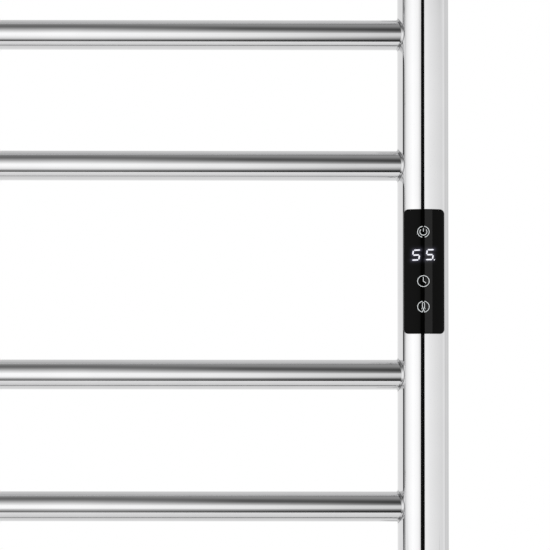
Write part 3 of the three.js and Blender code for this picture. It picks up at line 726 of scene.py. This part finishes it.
PRINT_ASIDE = -0.85 * MM             # the keys sit a hair to the left of the lens's middle
DIGITS_ASIDE = PRINT_ASIDE - 0.25 * MM
DIGITS_UP = 12.2 * MM
DIGIT_PITCH = 10.15 * MM
DIGIT_HEIGHT = 7.25 * MM
DIGIT_WIDTH = 4.9 * MM
DIGIT_STROKE = 0.49 * MM
DIGIT_SLANT = math.tan(math.radians(9.5))
DISPLAY_TURN = math.radians(1.6)
MITRE = 0.25 * MM
POINT = (4.85 * MM, -3.75 * MM)
POINT_ASIDE = (DIGIT_PITCH / 2 - 1.0 * MM, 0)
HALO_FADE = 0.75 * MM
HALO_REACH = 4.0 * MM


def on_display(points, digit_x):
    """Points of an upright digit, slanted, set at its place, and turned with the display's small tilt."""
    p = np.array(points, float)
    x = digit_x + p[..., 0] + DIGIT_SLANT * p[..., 1]
    z = p[..., 1]
    c, s = math.cos(DISPLAY_TURN), math.sin(DISPLAY_TURN)
    return np.stack([c * x - s * z + DIGITS_ASIDE, s * x + c * z + DIGITS_UP], -1)


right, top = DIGIT_WIDTH / 2, DIGIT_HEIGHT / 2
FIVE = [
    ((-right + MITRE, top), (right, top)),
    ((-right, top - MITRE), (-right, MITRE)),
    ((-right + MITRE, 0), (right - MITRE, 0)),
    ((right, -MITRE), (right, -top + MITRE)),
    ((right - MITRE, -top), (-right, -top)),
]
segments = [on_display(line, side * DIGIT_PITCH / 2) for side in (-1, 1) for line in FIVE]
point_at = on_display([POINT], 0.0)[0] + POINT_ASIDE


def rounded_plate_depth(x, z):
    """How far a point of the rounded rectangle lies inside its outline, in metres."""
    q_x = np.maximum(np.abs(x) - (lens_half_width - LENS_CORNER), 0)
    q_z = np.maximum(np.abs(z) - (lens_half_height - LENS_CORNER), 0)
    corner = LENS_CORNER - np.hypot(q_x, q_z)
    straight = np.minimum(lens_half_width - np.abs(x), lens_half_height - np.abs(z))
    return np.where((q_x > 0) & (q_z > 0), corner, straight)


def stations(half, coarse):
    """Places from -half to half: close together near the rim, evenly spaced inside."""
    rim = LENS_EDGE * (1 - np.cos(np.radians(np.linspace(0, 90, 8))))
    bend = np.linspace(LENS_EDGE, LENS_CORNER, 9)[1:]
    inner = np.linspace(LENS_CORNER, half, coarse)[1:]
    inset = np.concatenate([rim, bend, inner])
    return np.concatenate([inset - half, (half - inset)[::-1][1:]])


def lens_surfaces():
    """Front, side and back of the lens over a grid that keeps to its rounded outline.

    A column's height is the outline's height at that x. In front the radius from the post axis drops
    along a quarter circle within LENS_EDGE of the rim; the side joins it to the flat-curved back.
    """
    x = stations(lens_half_width, 22)
    v = stations(lens_half_height, 84) / lens_half_height
    past = np.maximum(np.abs(x) - (lens_half_width - LENS_CORNER), 0)
    column = lens_half_height - LENS_CORNER + np.sqrt(LENS_CORNER**2 - past**2)
    z = v[:, None] * column[None, :]
    x = np.broadcast_to(x, z.shape)
    inside = np.clip(rounded_plate_depth(x, z), 0, LENS_EDGE)
    drop = LENS_EDGE - np.sqrt(LENS_EDGE**2 - (LENS_EDGE - inside) ** 2)
    front, back = (
        on_grid(post_axis.x + x, post_axis.y - np.sqrt(r**2 - x**2), lens_z + z)
        for r in (LENS_OUTER - drop, LENS_OUTER - LENS_THICKNESS)
    )
    surfaces = [(front, False), (back, False)]
    for rim in (0, -1):
        surfaces.append((np.stack([front[rim], back[rim]]), False))
    for rim in (0, -1):
        surfaces.append((np.stack([front[:, rim], back[:, rim]]), False))
    flat = [np.stack([g[..., 0] - post_axis.x, g[..., 2] - lens_z], -1).reshape(-1, 2) for g, _ in surfaces]
    return surfaces, np.concatenate(flat)


def distance_to(line, points):
    """Distance in the plane from every point to the line between two ends."""
    start, end = line
    along = end - start
    share = np.clip(((points - start) @ along) / (along @ along), 0, 1)
    return np.linalg.norm(points - start - share[:, None] * along, axis=1)


lens_parts, lens_flat = lens_surfaces()
nearest = np.min([distance_to(line, lens_flat) for line in segments], axis=0)
halo = np.exp(-np.maximum(nearest - DIGIT_STROKE, 0) / HALO_FADE)
halo[nearest > HALO_REACH] = 0

black_lens, tree, shader = new_finish("gloss_black_lens", (0.0008, 0.0008, 0.0007), 0.0, 0.045)
shader.inputs["Specular IOR Level"].default_value = 0.058
shader.inputs["Emission Strength"].default_value = 1.0
swirl = noise_on_object(tree, 420, (1, 1, 1), 2.0)
link(tree, spread(tree, swirl, 0.045, 0.075), shader.inputs["Roughness"])
glow = tree.nodes.new("ShaderNodeValToRGB")
glow.color_ramp.elements[0].color = (0, 0, 0, 1)
glow.color_ramp.elements[1].color = (0.048, 0.047, 0.066, 1)
link(tree, mark_of(tree), glow.inputs["Fac"])
link(tree, glow.outputs["Color"], shader.inputs["Emission Color"])

make_piece("control_cover_lens", lens_parts, black_lens, "rack", ["control_cover"], halo)


# ---------------------------------------------------------------------------
# Digits
# The lit bars of the two-digit display, shining through the lens: slanted
# seven-segment figures with a point, cool white. Generic figures, 55.
# ---------------------------------------------------------------------------
INK_HEIGHT = 0.03 * MM
INK_GAP = 0.005 * MM
DOT_REACH = 0.45 * MM
DOT_RADIUS = 0.44 * MM

lit_white, tree, shader = new_finish("lit_segment", (0.1, 0.1, 0.12), 0.0, 0.4)
shader.inputs["Emission Strength"].default_value = 0.95
flicker = noise_on_object(tree, 700, (1, 1, 1), 2.0)
link(tree, tint(tree, flicker, (0.86, 0.88, 0.98), (1.0, 1.0, 1.0)), shader.inputs["Emission Color"])


def ribbon(path, half_width, ends="round"):
    """A raised line of ink along a path on the lens, as a closed strip wrapped round its section.

    path is points (x, z) from the lens's middle. Its half width falls to nothing at the ends along a
    quarter circle, or in a point, and each point is laid on the lens's round front.
    """
    path = np.array(path, float)
    step = np.linalg.norm(np.diff(path, axis=0), axis=1)
    run = np.concatenate([[0], np.cumsum(step)])
    lead = half_width * np.array([0, 0.06, 0.2, 0.45, 0.75, 1.0])
    inner = np.linspace(half_width, run[-1] - half_width, max(4, int(run[-1] / (0.25 * MM))))
    s = np.concatenate([lead, inner[1:-1], run[-1] - lead[::-1]])
    p = np.stack([np.interp(s, run, path[:, 0]), np.interp(s, run, path[:, 1])], -1)
    smooth = np.gradient(p, s, axis=0)
    smooth /= np.linalg.norm(smooth, axis=1)[:, None]
    across = np.stack([-smooth[:, 1], smooth[:, 0]], -1)
    from_end = np.minimum(s, run[-1] - s)
    near = np.clip(from_end / half_width, 0, 1)
    width = half_width * (np.sqrt(1 - (1 - near) ** 2) if ends == "round" else near)
    thick = INK_HEIGHT * (near > 0)
    section = [(-1, 0), (-0.8, 1), (0, 1), (0.8, 1), (1, 0), (0, -0.2)]
    columns = []
    for side, lift in section:
        x = p[:, 0] + side * width * across[:, 0]
        z = p[:, 1] + side * width * across[:, 1]
        r = LENS_OUTER + INK_GAP + lift * thick
        columns.append(on_grid(post_axis.x + x, post_axis.y - np.sqrt(r**2 - x**2), lens_z + z))
    return np.stack(columns, 1)


def ring_path(center, radius_x, radius_z, start, end, steps=72):
    """An arc from one clock angle to another, in degrees from twelve o'clock."""
    a = np.radians(np.linspace(start, end, steps))
    return np.stack([center[0] + radius_x * np.sin(a), center[1] + radius_z * np.cos(a)], -1)


lines = [(ribbon(line, DIGIT_STROKE, "point"), True) for line in segments]
dot = [point_at + (side * DOT_REACH, 0) for side in (-1, 1)]
lines.append((ribbon(dot, DOT_RADIUS), True))
make_piece("display_figures", lines, lit_white, "rack")


# ---------------------------------------------------------------------------
# Key symbols
# Printed in light grey on the lens over the three touch springs: power, timer
# and heat, each in a thin ring.
# ---------------------------------------------------------------------------
KEY_RING = (4.27 * MM, 4.04 * MM)
KEY_STROKE = 0.21 * MM
FAINT_STROKE = 0.55 * KEY_STROKE
symbol_ink_painted_glow, tree, shader = new_finish("symbol_ink_painted_glow", (0.55, 0.57, 0.57), 0.0, 0.5)
# Painted light: the printed ink also glows a little, on top of the grey the lamps show.
shader.inputs["Emission Strength"].default_value = 0.41
grain = noise_on_object(tree, 2500, (1, 1, 1), 2.0)
link(tree, tint(tree, grain, (0.48, 0.5, 0.5), (0.6, 0.62, 0.62)), shader.inputs["Base Color"])
shader.inputs["Emission Color"].default_value = (0.7, 0.75, 0.76, 1)


def key_height(node):
    """The height of a touch spring's middle over the lens's middle."""
    low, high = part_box(node)
    return (low.z + high.z) / 2 - lens_z


def mm_line(center, points):
    """Points given in millimetres about a key's middle."""
    return np.array([(center[0] + x * MM, center[1] + z * MM) for x, z in points])


def bowed(center, points, steps=40):
    """A smooth line through points in millimetres: each coordinate is a curve through them over evenly spaced
    steps.
    """
    p = np.array(points, float)
    share = np.linspace(0, 1, len(p))
    t = np.linspace(0, 1, steps)
    fit = [np.polyval(np.polyfit(share, p[:, i], len(p) - 1), t) for i in (0, 1)]
    return np.array(center) + np.stack(fit, -1) * MM


power = (PRINT_ASIDE, key_height("touch_spring_power"))
power_lines = [
    ring_path(power, *KEY_RING, 8, 168),
    ring_path(power, *KEY_RING, 192, 352),
    ring_path(power, 2.6 * MM, 2.5 * MM, 48, 312),
    mm_line(power, [(0, 2.7), (0, 0.1)]),
]
timer = (PRINT_ASIDE, key_height("touch_spring_timer"))
timer_lines = [
    ring_path(timer, *KEY_RING, 0, 180),
    ring_path(timer, *KEY_RING, 180, 360),
    mm_line(timer, [(-0.1, 3.0), (-0.1, -0.1)]),
    mm_line(timer, [(-0.15, 0.1), (1.9, -1.5)]),
]
heat = (PRINT_ASIDE, key_height("touch_spring_heat"))
FLAME = [(0.82, 2.2), (0.84, 0.9), (0.7, -0.4), (0.08, -1.75), (-0.72, -3.7)]
heat_lines = [
    ring_path(heat, *KEY_RING, 9, 172),
    ring_path(heat, *KEY_RING, 188, 351),
    ring_path((heat[0], heat[1] + 2.2 * MM), 0.85 * MM, 0.9 * MM, -90, 90, 30),
    *(bowed(heat, [(side * x, z) for x, z in FLAME]) for side in (-1, 1)),
]
faint_lines = [mm_line(heat, [(side * 0.95, -0.7), (side * 1.45, -1.9)]) for side in (-1, 1)]
for name, strokes in (("power", power_lines), ("timer", timer_lines), ("heat", heat_lines)):
    made = [(ribbon(path, KEY_STROKE), True) for path in strokes]
    if name == "heat":
        made += [(ribbon(path, FAINT_STROKE), True) for path in faint_lines]
    make_piece(f"key_symbol_{name}", made, symbol_ink_painted_glow, "rack")


# ---------------------------------------------------------------------------
# Cable gland
# Black nylon: a ribbed dome collar under the right post's bottom cap, its neck
# up through the hole, and a hexagon nut inside the post.
# ---------------------------------------------------------------------------
gland_nylon, tree, shader = new_finish("black_nylon", (0.02, 0.02, 0.021), 0.0, 0.42)
pebble = noise_on_object(tree, 3200, (1, 1, 1), 3.0)
link(tree, spread(tree, pebble, 0.36, 0.52), shader.inputs["Roughness"])
link(tree, tint(tree, pebble, (0.016, 0.016, 0.017), (0.026, 0.026, 0.028)), shader.inputs["Base Color"])
dimple(tree, shader, pebble, 0.25, 0.05 * MM)

GLAND_FACETS = 240
GLAND_BORE = 3.8 * MM
GLAND_NECK = 6.3 * MM
GLAND_LIP = 0.6 * MM
GLAND_DOME = 1.8 * MM
GLAND_CHAMFER = 0.4 * MM
GLAND_RIBS = 20
RIB_DEPTH = 0.35 * MM
RIBS_FROM = 3.0 * MM

low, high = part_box("cable_gland")
cap_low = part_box("right_post_bottom_cap")[0]
collar_r = (high.x - low.x) / 2
collar_top = cap_low.z - low.z - SEAM
length = high.z - low.z
profile = [(GLAND_BORE, 2 * GLAND_LIP)] + rounded(GLAND_BORE + GLAND_LIP, GLAND_LIP, GLAND_LIP, 180, 270, 4)
profile += rounded(collar_r - GLAND_DOME, GLAND_DOME, GLAND_DOME, 270, 360, 8)
ribbed_from = len(profile) - 1
profile += [(collar_r, RIBS_FROM), (collar_r, collar_top - GLAND_LIP)]
ribbed_to = len(profile)
profile += [(collar_r - GLAND_CHAMFER, collar_top), (GLAND_NECK, collar_top), (GLAND_NECK, length)]
profile += [(GLAND_BORE, length), (GLAND_BORE, 2 * GLAND_LIP)]
grid = turned(profile, GLAND_FACETS)
angle = np.linspace(0, 2 * math.pi, GLAND_FACETS, endpoint=False)
rib = 1 - RIB_DEPTH / collar_r * np.clip(0.5 - 1.6 * np.cos(GLAND_RIBS * angle), 0, 1)
grid[ribbed_from:ribbed_to, :, :2] *= rib[None, :, None]
grid += ((low.x + high.x) / 2, (low.y + high.y) / 2, low.z)
make_piece("cable_gland_collar", [(grid, True)], gland_nylon, "rack", ["cable_gland"])

NUT_ROUND = 0.8 * MM
NUT_END = 0.9                        # the end faces' radius as a share of the corners'
NUT_CLEARANCE = 0.6 * MM

low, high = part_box("gland_nut")
nut_r, nut_h = (high.x - low.x) / 2, high.z - low.z
a = np.linspace(0, 2 * math.pi, 96, endpoint=False)
hexagon = nut_r * math.cos(math.pi / 6) / np.cos((a + math.pi / 6) % (math.pi / 3) - math.pi / 6)
bore = GLAND_NECK + NUT_CLEARANCE
end_face = np.minimum(hexagon, NUT_END * nut_r)
sections = [(bore, 0), (end_face, 0), (hexagon, NUT_ROUND), (hexagon, nut_h - NUT_ROUND)]
sections += [(end_face, nut_h), (bore, nut_h), (bore, 0)]
grid = ringed(a, sections)
grid += ((low.x + high.x) / 2, (low.y + high.y) / 2, low.z)
make_piece("gland_nut_hexagon", [(grid, True)], gland_nylon, "rack", ["gland_nut"])


# ---------------------------------------------------------------------------
# Inside the posts
# The controller's tray, boards and parts, the heating cable, the probe and the
# earth bond keep their CAD shapes, each in its own material.
# ---------------------------------------------------------------------------
def speckled(name, dark, light, metallic, roughness, scale, stretch=(1, 1, 1)):
    """A material whose colour and roughness vary with fine noise on the piece's own coordinates."""
    finish, tree, shader = new_finish(name, light, metallic, roughness[1])
    noise = noise_on_object(tree, scale, stretch)
    link(tree, tint(tree, noise, dark, light), shader.inputs["Base Color"])
    link(tree, spread(tree, noise, *roughness), shader.inputs["Roughness"])
    dimple(tree, shader, noise, 0.15, 0.03 * MM)
    return finish


def clad(finish, *nodes):
    """Gives CAD nodes this finish in place of their own."""
    for node in nodes:
        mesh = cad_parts[node].data
        mesh.materials.clear()
        mesh.materials.append(finish)


silicone = speckled("grey_silicone", (0.12, 0.125, 0.13), (0.17, 0.175, 0.18), 0.0, (0.6, 0.8), 1800)
clad(silicone, "control_seal", "probe_holder")

housing = speckled("dark_moulding", (0.035, 0.037, 0.04), (0.055, 0.057, 0.06), 0.0, (0.4, 0.6), 2600)
clad(housing, "control_tray", "board_spacer_top", "board_spacer_bottom")

LENGTHWISE = (1, 1, 0.2)
resist = speckled(
    "green_solder_resist", (0.008, 0.085, 0.03), (0.03, 0.17, 0.065), 0.0, (0.25, 0.4), 420, LENGTHWISE
)
clad(resist, "display_board", "power_board")

black = speckled("black_moulding", (0.012, 0.012, 0.012), (0.028, 0.028, 0.028), 0.0, (0.3, 0.5), 2400)
clad(black, "board_link", "digit_display", "relay")

green = speckled("green_moulding", (0.025, 0.2, 0.07), (0.05, 0.3, 0.12), 0.0, (0.3, 0.5), 2000)
clad(green, "terminal_block")

glass = speckled("fuse_tube", (0.5, 0.55, 0.53), (0.8, 0.85, 0.82), 0.3, (0.08, 0.2), 600, LENGTHWISE)
clad(glass, "fuse")

DRAWN = (1, 1, 0.1)
plated = speckled("plated_steel", (0.5, 0.51, 0.53), (0.66, 0.67, 0.69), 1.0, (0.2, 0.35), 3000, DRAWN)
clad(plated, "board_screw_top", "board_screw_bottom", "temperature_probe", "earth_tag")
clad(plated, "touch_spring_power", "touch_spring_timer", "touch_spring_heat")

brass = speckled("turned_brass", (0.6, 0.42, 0.15), (0.78, 0.58, 0.25), 1.0, (0.25, 0.4), 2500, DRAWN)
clad(brass, "earth_screw")

cable = speckled("white_silicone", (0.7, 0.68, 0.62), (0.82, 0.8, 0.75), 0.0, (0.5, 0.7), 1500)
clad(cable, "heating_cable")


# ---------------------------------------------------------------------------
# Floor and reflectors
# The studio: a pale floor well below the rack, a white table edge low in front
# and a black flag before the post, which only the steel's reflections show.
# ---------------------------------------------------------------------------
FLOOR_Z = cad_low.z - 1.6
FLOOR_HALF = 7.0
FLOOR_BACK = 3.6


def card(name, corners, finish):
    """A flat four-cornered studio card."""
    mesh = bpy.data.meshes.new(name)
    mesh.from_pydata(corners, [], [(0, 1, 2, 3)])
    mesh.materials.append(finish)
    made = bpy.data.objects.new(name, mesh)
    bpy.context.scene.collection.objects.link(made)
    return made


def strip_corners(half, near, far):
    """Corners of a card that runs half to either side, between two (y, z) edges."""
    return [(-half, *near), (half, *near), (half, *far), (-half, *far)]


def seen_only_in_reflections(made):
    """Hides a card from everything but mirrored rays."""
    made.visible_camera = False
    made.visible_diffuse = False
    made.visible_shadow = False
    made.visible_transmission = False


pale_floor, tree, shader = new_finish("pale_floor", (0.85, 0.85, 0.85), 0.0, 0.9)
shader.inputs["Emission Color"].default_value = (1, 1, 1, 1)
shader.inputs["Emission Strength"].default_value = 0.47
floor = card("floor", strip_corners(FLOOR_HALF, (-FLOOR_HALF, FLOOR_Z), (FLOOR_BACK, FLOOR_Z)), pale_floor)
floor.visible_glossy = False


def lit_card(name):
    """A material that only shines, and its emission node."""
    finish = bpy.data.materials.new(name)
    finish.use_nodes = True
    tree = finish.node_tree
    tree.nodes.remove(tree.nodes["Principled BSDF"])
    shine = tree.nodes.new("ShaderNodeEmission")
    link(tree, shine.outputs["Emission"], tree.nodes["Material Output"].inputs["Surface"])
    return finish, tree, shine


def ramp_of(tree, stops):
    """A colour ramp of greys from (position 0..1, value) stops; values are halved, as a ramp holds 0..1."""
    ramp = tree.nodes.new("ShaderNodeValToRGB")
    elements = ramp.color_ramp.elements
    elements[0].position, elements[1].position = stops[0][0], stops[-1][0]
    for position, _ in stops[1:-1]:
        elements.new(position)
    for element, (_, value) in zip(elements, stops):
        element.color = (value / 2, value / 2, value / 2, 1)
    return ramp


def maths(tree, operation, *terms):
    """The result of a Math node; its terms are sockets or numbers."""
    node = tree.nodes.new("ShaderNodeMath")
    node.operation = operation
    for socket, term in zip(node.inputs, terms):
        if isinstance(term, (int, float)):
            socket.default_value = term
        else:
            link(tree, term, socket)
    return node.outputs["Value"]


def mixed_shader(tree, factor, first, second):
    """Two shaders mixed by the factor."""
    node = tree.nodes.new("ShaderNodeMixShader")
    for socket, source in zip(node.inputs, (factor, first, second)):
        link(tree, source, socket)
    return node.outputs["Shader"]


TABLE_HALF = 3.0
TABLE_Z = -0.842
TABLE_FRONT = post_axis.y - 0.6635
TABLE_BACK = post_axis.y + 0.25
TABLE_TONES = [(0.0, 1.02), (0.3, 0.98), (0.6, 0.86), (0.76, 0.78), (0.8, 0.64), (0.84, 0.8), (1.0, 0.9)]
front_edge = (TABLE_FRONT, TABLE_Z)
table_white, tree, shine = lit_card("table_white")
tones = ramp_of(tree, TABLE_TONES)
link(tree, graded(tree, object_axis(tree, "Y"), TABLE_FRONT, TABLE_BACK), tones.inputs["Fac"])
link(tree, tones.outputs["Color"], shine.inputs["Color"])
shine.inputs["Strength"].default_value = 2.0
table = card("table", strip_corners(TABLE_HALF, front_edge, (TABLE_BACK, TABLE_Z)), table_white)
seen_only_in_reflections(table)

# The apron is sheer: thick at the table, clearing to nothing at its top, and a little thinner at the left.
APRON_TOP = -0.33
APRON_DENSITY = [(0.0, 1.9), (0.18, 1.8), (0.45, 1.5), (0.8, 0.9), (1.0, 0.0)]
apron_cloth, tree, shine = lit_card("apron_cloth")
shine.inputs["Color"].default_value = (0.004, 0.004, 0.004, 1)
dense = ramp_of(tree, APRON_DENSITY)
link(tree, graded(tree, object_axis(tree, "Z"), TABLE_Z, APRON_TOP), dense.inputs["Fac"])
sideways = graded(tree, object_axis(tree, "X"), -0.05, 0.25, 0.80, 1.06)
thickness = maths(tree, "MULTIPLY", sideways, dense.outputs["Color"])
thickness.node.use_clamp = True
clear = tree.nodes.new("ShaderNodeBsdfTransparent")
cloth = mixed_shader(tree, thickness, clear.outputs["BSDF"], shine.outputs["Emission"])
link(tree, cloth, tree.nodes["Material Output"].inputs["Surface"])
apron = card("apron", strip_corners(TABLE_HALF, front_edge, (TABLE_FRONT, APRON_TOP)), apron_cloth)
seen_only_in_reflections(apron)

FLAG_FROM_POST = 0.0255
FLAG_PAST_ENDS = 0.02
FLAG_LEFT = (-0.0051, -0.0032)       # at the bottom and the top, from the post axis
FLAG_RIGHT = (0.00055, 0.00043)
flag_black, tree, shine = lit_card("flag_black")
shine.inputs["Color"].default_value = (0.005, 0.005, 0.005, 1)
flag_y = post_axis.y - FLAG_FROM_POST
bottom, top = cad_low.z - FLAG_PAST_ENDS, cad_high.z + FLAG_PAST_ENDS
flag_corners = [(FLAG_LEFT[0], bottom), (FLAG_RIGHT[0], bottom), (FLAG_RIGHT[1], top), (FLAG_LEFT[1], top)]
flag = card("flag", [(post_axis.x + x, flag_y, z) for x, z in flag_corners], flag_black)
seen_only_in_reflections(flag)


# ---------------------------------------------------------------------------
# Studio light
# White paper all round for the camera. What the steel mirrors is the studio's
# soft boxes: bands by elevation for the bars, by azimuth for the upright posts.
# ---------------------------------------------------------------------------
world = bpy.data.worlds.new("studio")
bpy.context.scene.world = world
world.use_nodes = True
tree = world.node_tree
tree.nodes.clear()


def degrees_ramp(tree, angle, stops):
    """A grey for an angle in radians from -pi to pi, by stops of (degrees, value)."""
    share = maths(tree, "MULTIPLY_ADD", angle, 1 / (2 * math.pi), 0.5)
    ramp = ramp_of(tree, [((d + 180) / 360, value) for d, value in stops])
    link(tree, share, ramp.inputs["Fac"])
    return ramp.outputs["Color"]


place = tree.nodes.new("ShaderNodeTexCoord")
axes = tree.nodes.new("ShaderNodeSeparateXYZ")
link(tree, place.outputs["Generated"], axes.inputs["Vector"])
toward = maths(tree, "MULTIPLY", axes.outputs["Y"], -1.0)
elevation = maths(tree, "ARCTAN2", axes.outputs["Z"], toward)
azimuth = maths(tree, "ARCTAN2", axes.outputs["X"], toward)

LEFT_BANDS = [
    (-180, 1.0), (-135, 0.94), (-105, 0.86), (-88, 0.74), (-76, 0.875), (-62, 0.93), (-59, 0.90),
    (-57, 0.3), (-52, 0.3), (-46, 0.5), (-43, 0.6), (-35, 0.86), (-27, 1.08), (-19, 1.23),
    (-11, 1.31), (-4, 1.36), (4, 1.31), (11, 1.2), (19, 1.05), (27, 0.82), (36, 0.6), (44, 0.41),
    (53, 0.25), (62, 0.18), (72, 0.22), (84, 0.33), (94, 0.45), (104, 0.58), (116, 0.7),
    (135, 0.76), (165, 0.74), (180, 0.78),
]
MIDDLE_BANDS = [
    (-180, 1.0), (-120, 0.9), (-105, 0.86), (-88, 0.74), (-76, 0.86), (-66, 0.97), (-59, 0.97),
    (-57, 0.2), (-52, 0.2), (-44, 0.34), (-36, 0.56), (-28, 0.857), (-20.5, 1.04), (-12.5, 1.17),
    (-5, 1.19), (3, 1.08), (10.5, 0.93), (18.5, 0.69), (26.5, 0.42), (34.5, 0.21), (43, 0.115),
    (52, 0.14), (61, 0.21), (71, 0.34), (88, 0.35), (91, 0.38), (97, 0.5), (104, 0.65),
    (114, 0.75), (135, 0.8), (180, 0.78),
]
RIGHT_BANDS = [
    (-180, 1.0), (-120, 0.9), (-105, 0.86), (-88, 0.74), (-76, 0.85), (-66, 1.0), (-59, 1.0),
    (-57, 0.06), (-51, 0.06), (-43, 0.12), (-35, 0.204), (-27, 0.43), (-19, 0.62), (-12, 0.79),
    (-4, 0.77), (4, 0.6), (11.5, 0.436), (19, 0.209), (27, 0.084), (35, 0.046), (44, 0.091),
    (53, 0.193), (62, 0.303), (72, 0.36), (83, 0.36), (87, 0.24), (91, 0.36), (97, 0.52),
    (104, 0.67), (114, 0.77), (180, 0.8),
]
ROUND_BANDS = [
    (-180, 0.95), (-155, 1.0), (-107.5, 1.02), (-105, 0.02), (-99.5, 0.02), (-96.5, 0.46),
    (-91, 0.66), (-86, 1.05), (-76, 1.24), (-65, 1.35), (-50, 1.45), (-35, 1.38), (-26, 1.31),
    (-21.7, 1.217), (-17, 1.0), (-11, 0.9), (-7, 1.38), (-3.8, 1.36), (-0.6, 1.18), (2.6, 0.85),
    (5, 1.2), (14, 1.23), (28, 1.146), (53, 1.06), (80, 0.985), (93, 0.954), (100, 1.026),
    (108, 1.05), (116, 0.8), (128, 0.87), (150, 0.74), (180, 0.8),
]

# The elevation bands change from left to right; rays that run nearly level see the azimuth bands.
LEFT_TO_MIDDLE = (-0.066, -0.006)
MIDDLE_TO_RIGHT = (-0.006, 0.054)
LEVEL_TO_STEEP = (0.10, 0.25)
sides = (LEFT_BANDS, MIDDLE_BANDS, RIGHT_BANDS)
left, middle, right = (degrees_ramp(tree, elevation, stops) for stops in sides)
level = degrees_ramp(tree, azimuth, ROUND_BANDS)
bands = mixed(tree, "RGBA", graded(tree, axes.outputs["X"], *LEFT_TO_MIDDLE), left, middle)
bands = mixed(tree, "RGBA", graded(tree, axes.outputs["X"], *MIDDLE_TO_RIGHT), bands, right)
steepness = graded(tree, maths(tree, "ABSOLUTE", axes.outputs["Z"]), *LEVEL_TO_STEEP)
steepness.node.interpolation_type = "SMOOTHSTEP"
studio = mixed(tree, "RGBA", steepness, level, bands)

shine = tree.nodes.new("ShaderNodeBackground")
link(tree, studio, shine.inputs["Color"])
shine.inputs["Strength"].default_value = 2.0
paper = tree.nodes.new("ShaderNodeBackground")
paper.inputs["Color"].default_value = (1, 1, 1, 1)
paper.inputs["Strength"].default_value = 1.0
rays = tree.nodes.new("ShaderNodeLightPath")
at_camera = rays.outputs["Is Camera Ray"]
seen = mixed_shader(tree, at_camera, shine.outputs["Background"], paper.outputs["Background"])
link(tree, seen, tree.nodes.new("ShaderNodeOutputWorld").inputs["Surface"])


def area_light(name, width, height, energy, place):
    """A rectangular lamp that the camera doesn't see."""
    light = bpy.data.lights.new(name, "AREA")
    light.shape = "RECTANGLE"
    light.size, light.size_y = width, height
    light.energy = energy
    lamp = bpy.data.objects.new(name, light)
    lamp.location = place
    lamp.visible_camera = False
    bpy.context.scene.collection.objects.link(lamp)
    return lamp


# The strip light stands in front and reaches the lens alone.
strip = area_light("strip_light", 0.36, 0.60, 2.2, post_axis + Vector((0.185, -0.52, 0.0)))
strip.rotation_euler = (math.radians(90), 0, 0)
lit_by_strip = bpy.data.collections.new("lit_by_strip")
lit_by_strip.objects.link(bpy.data.objects["control_cover_lens"])
strip.light_linking.receiver_collection = lit_by_strip

lamp = area_light("top_light", 3.0, 3.0, 60.0, (0, -0.4, 2.6))
lamp.visible_glossy = False
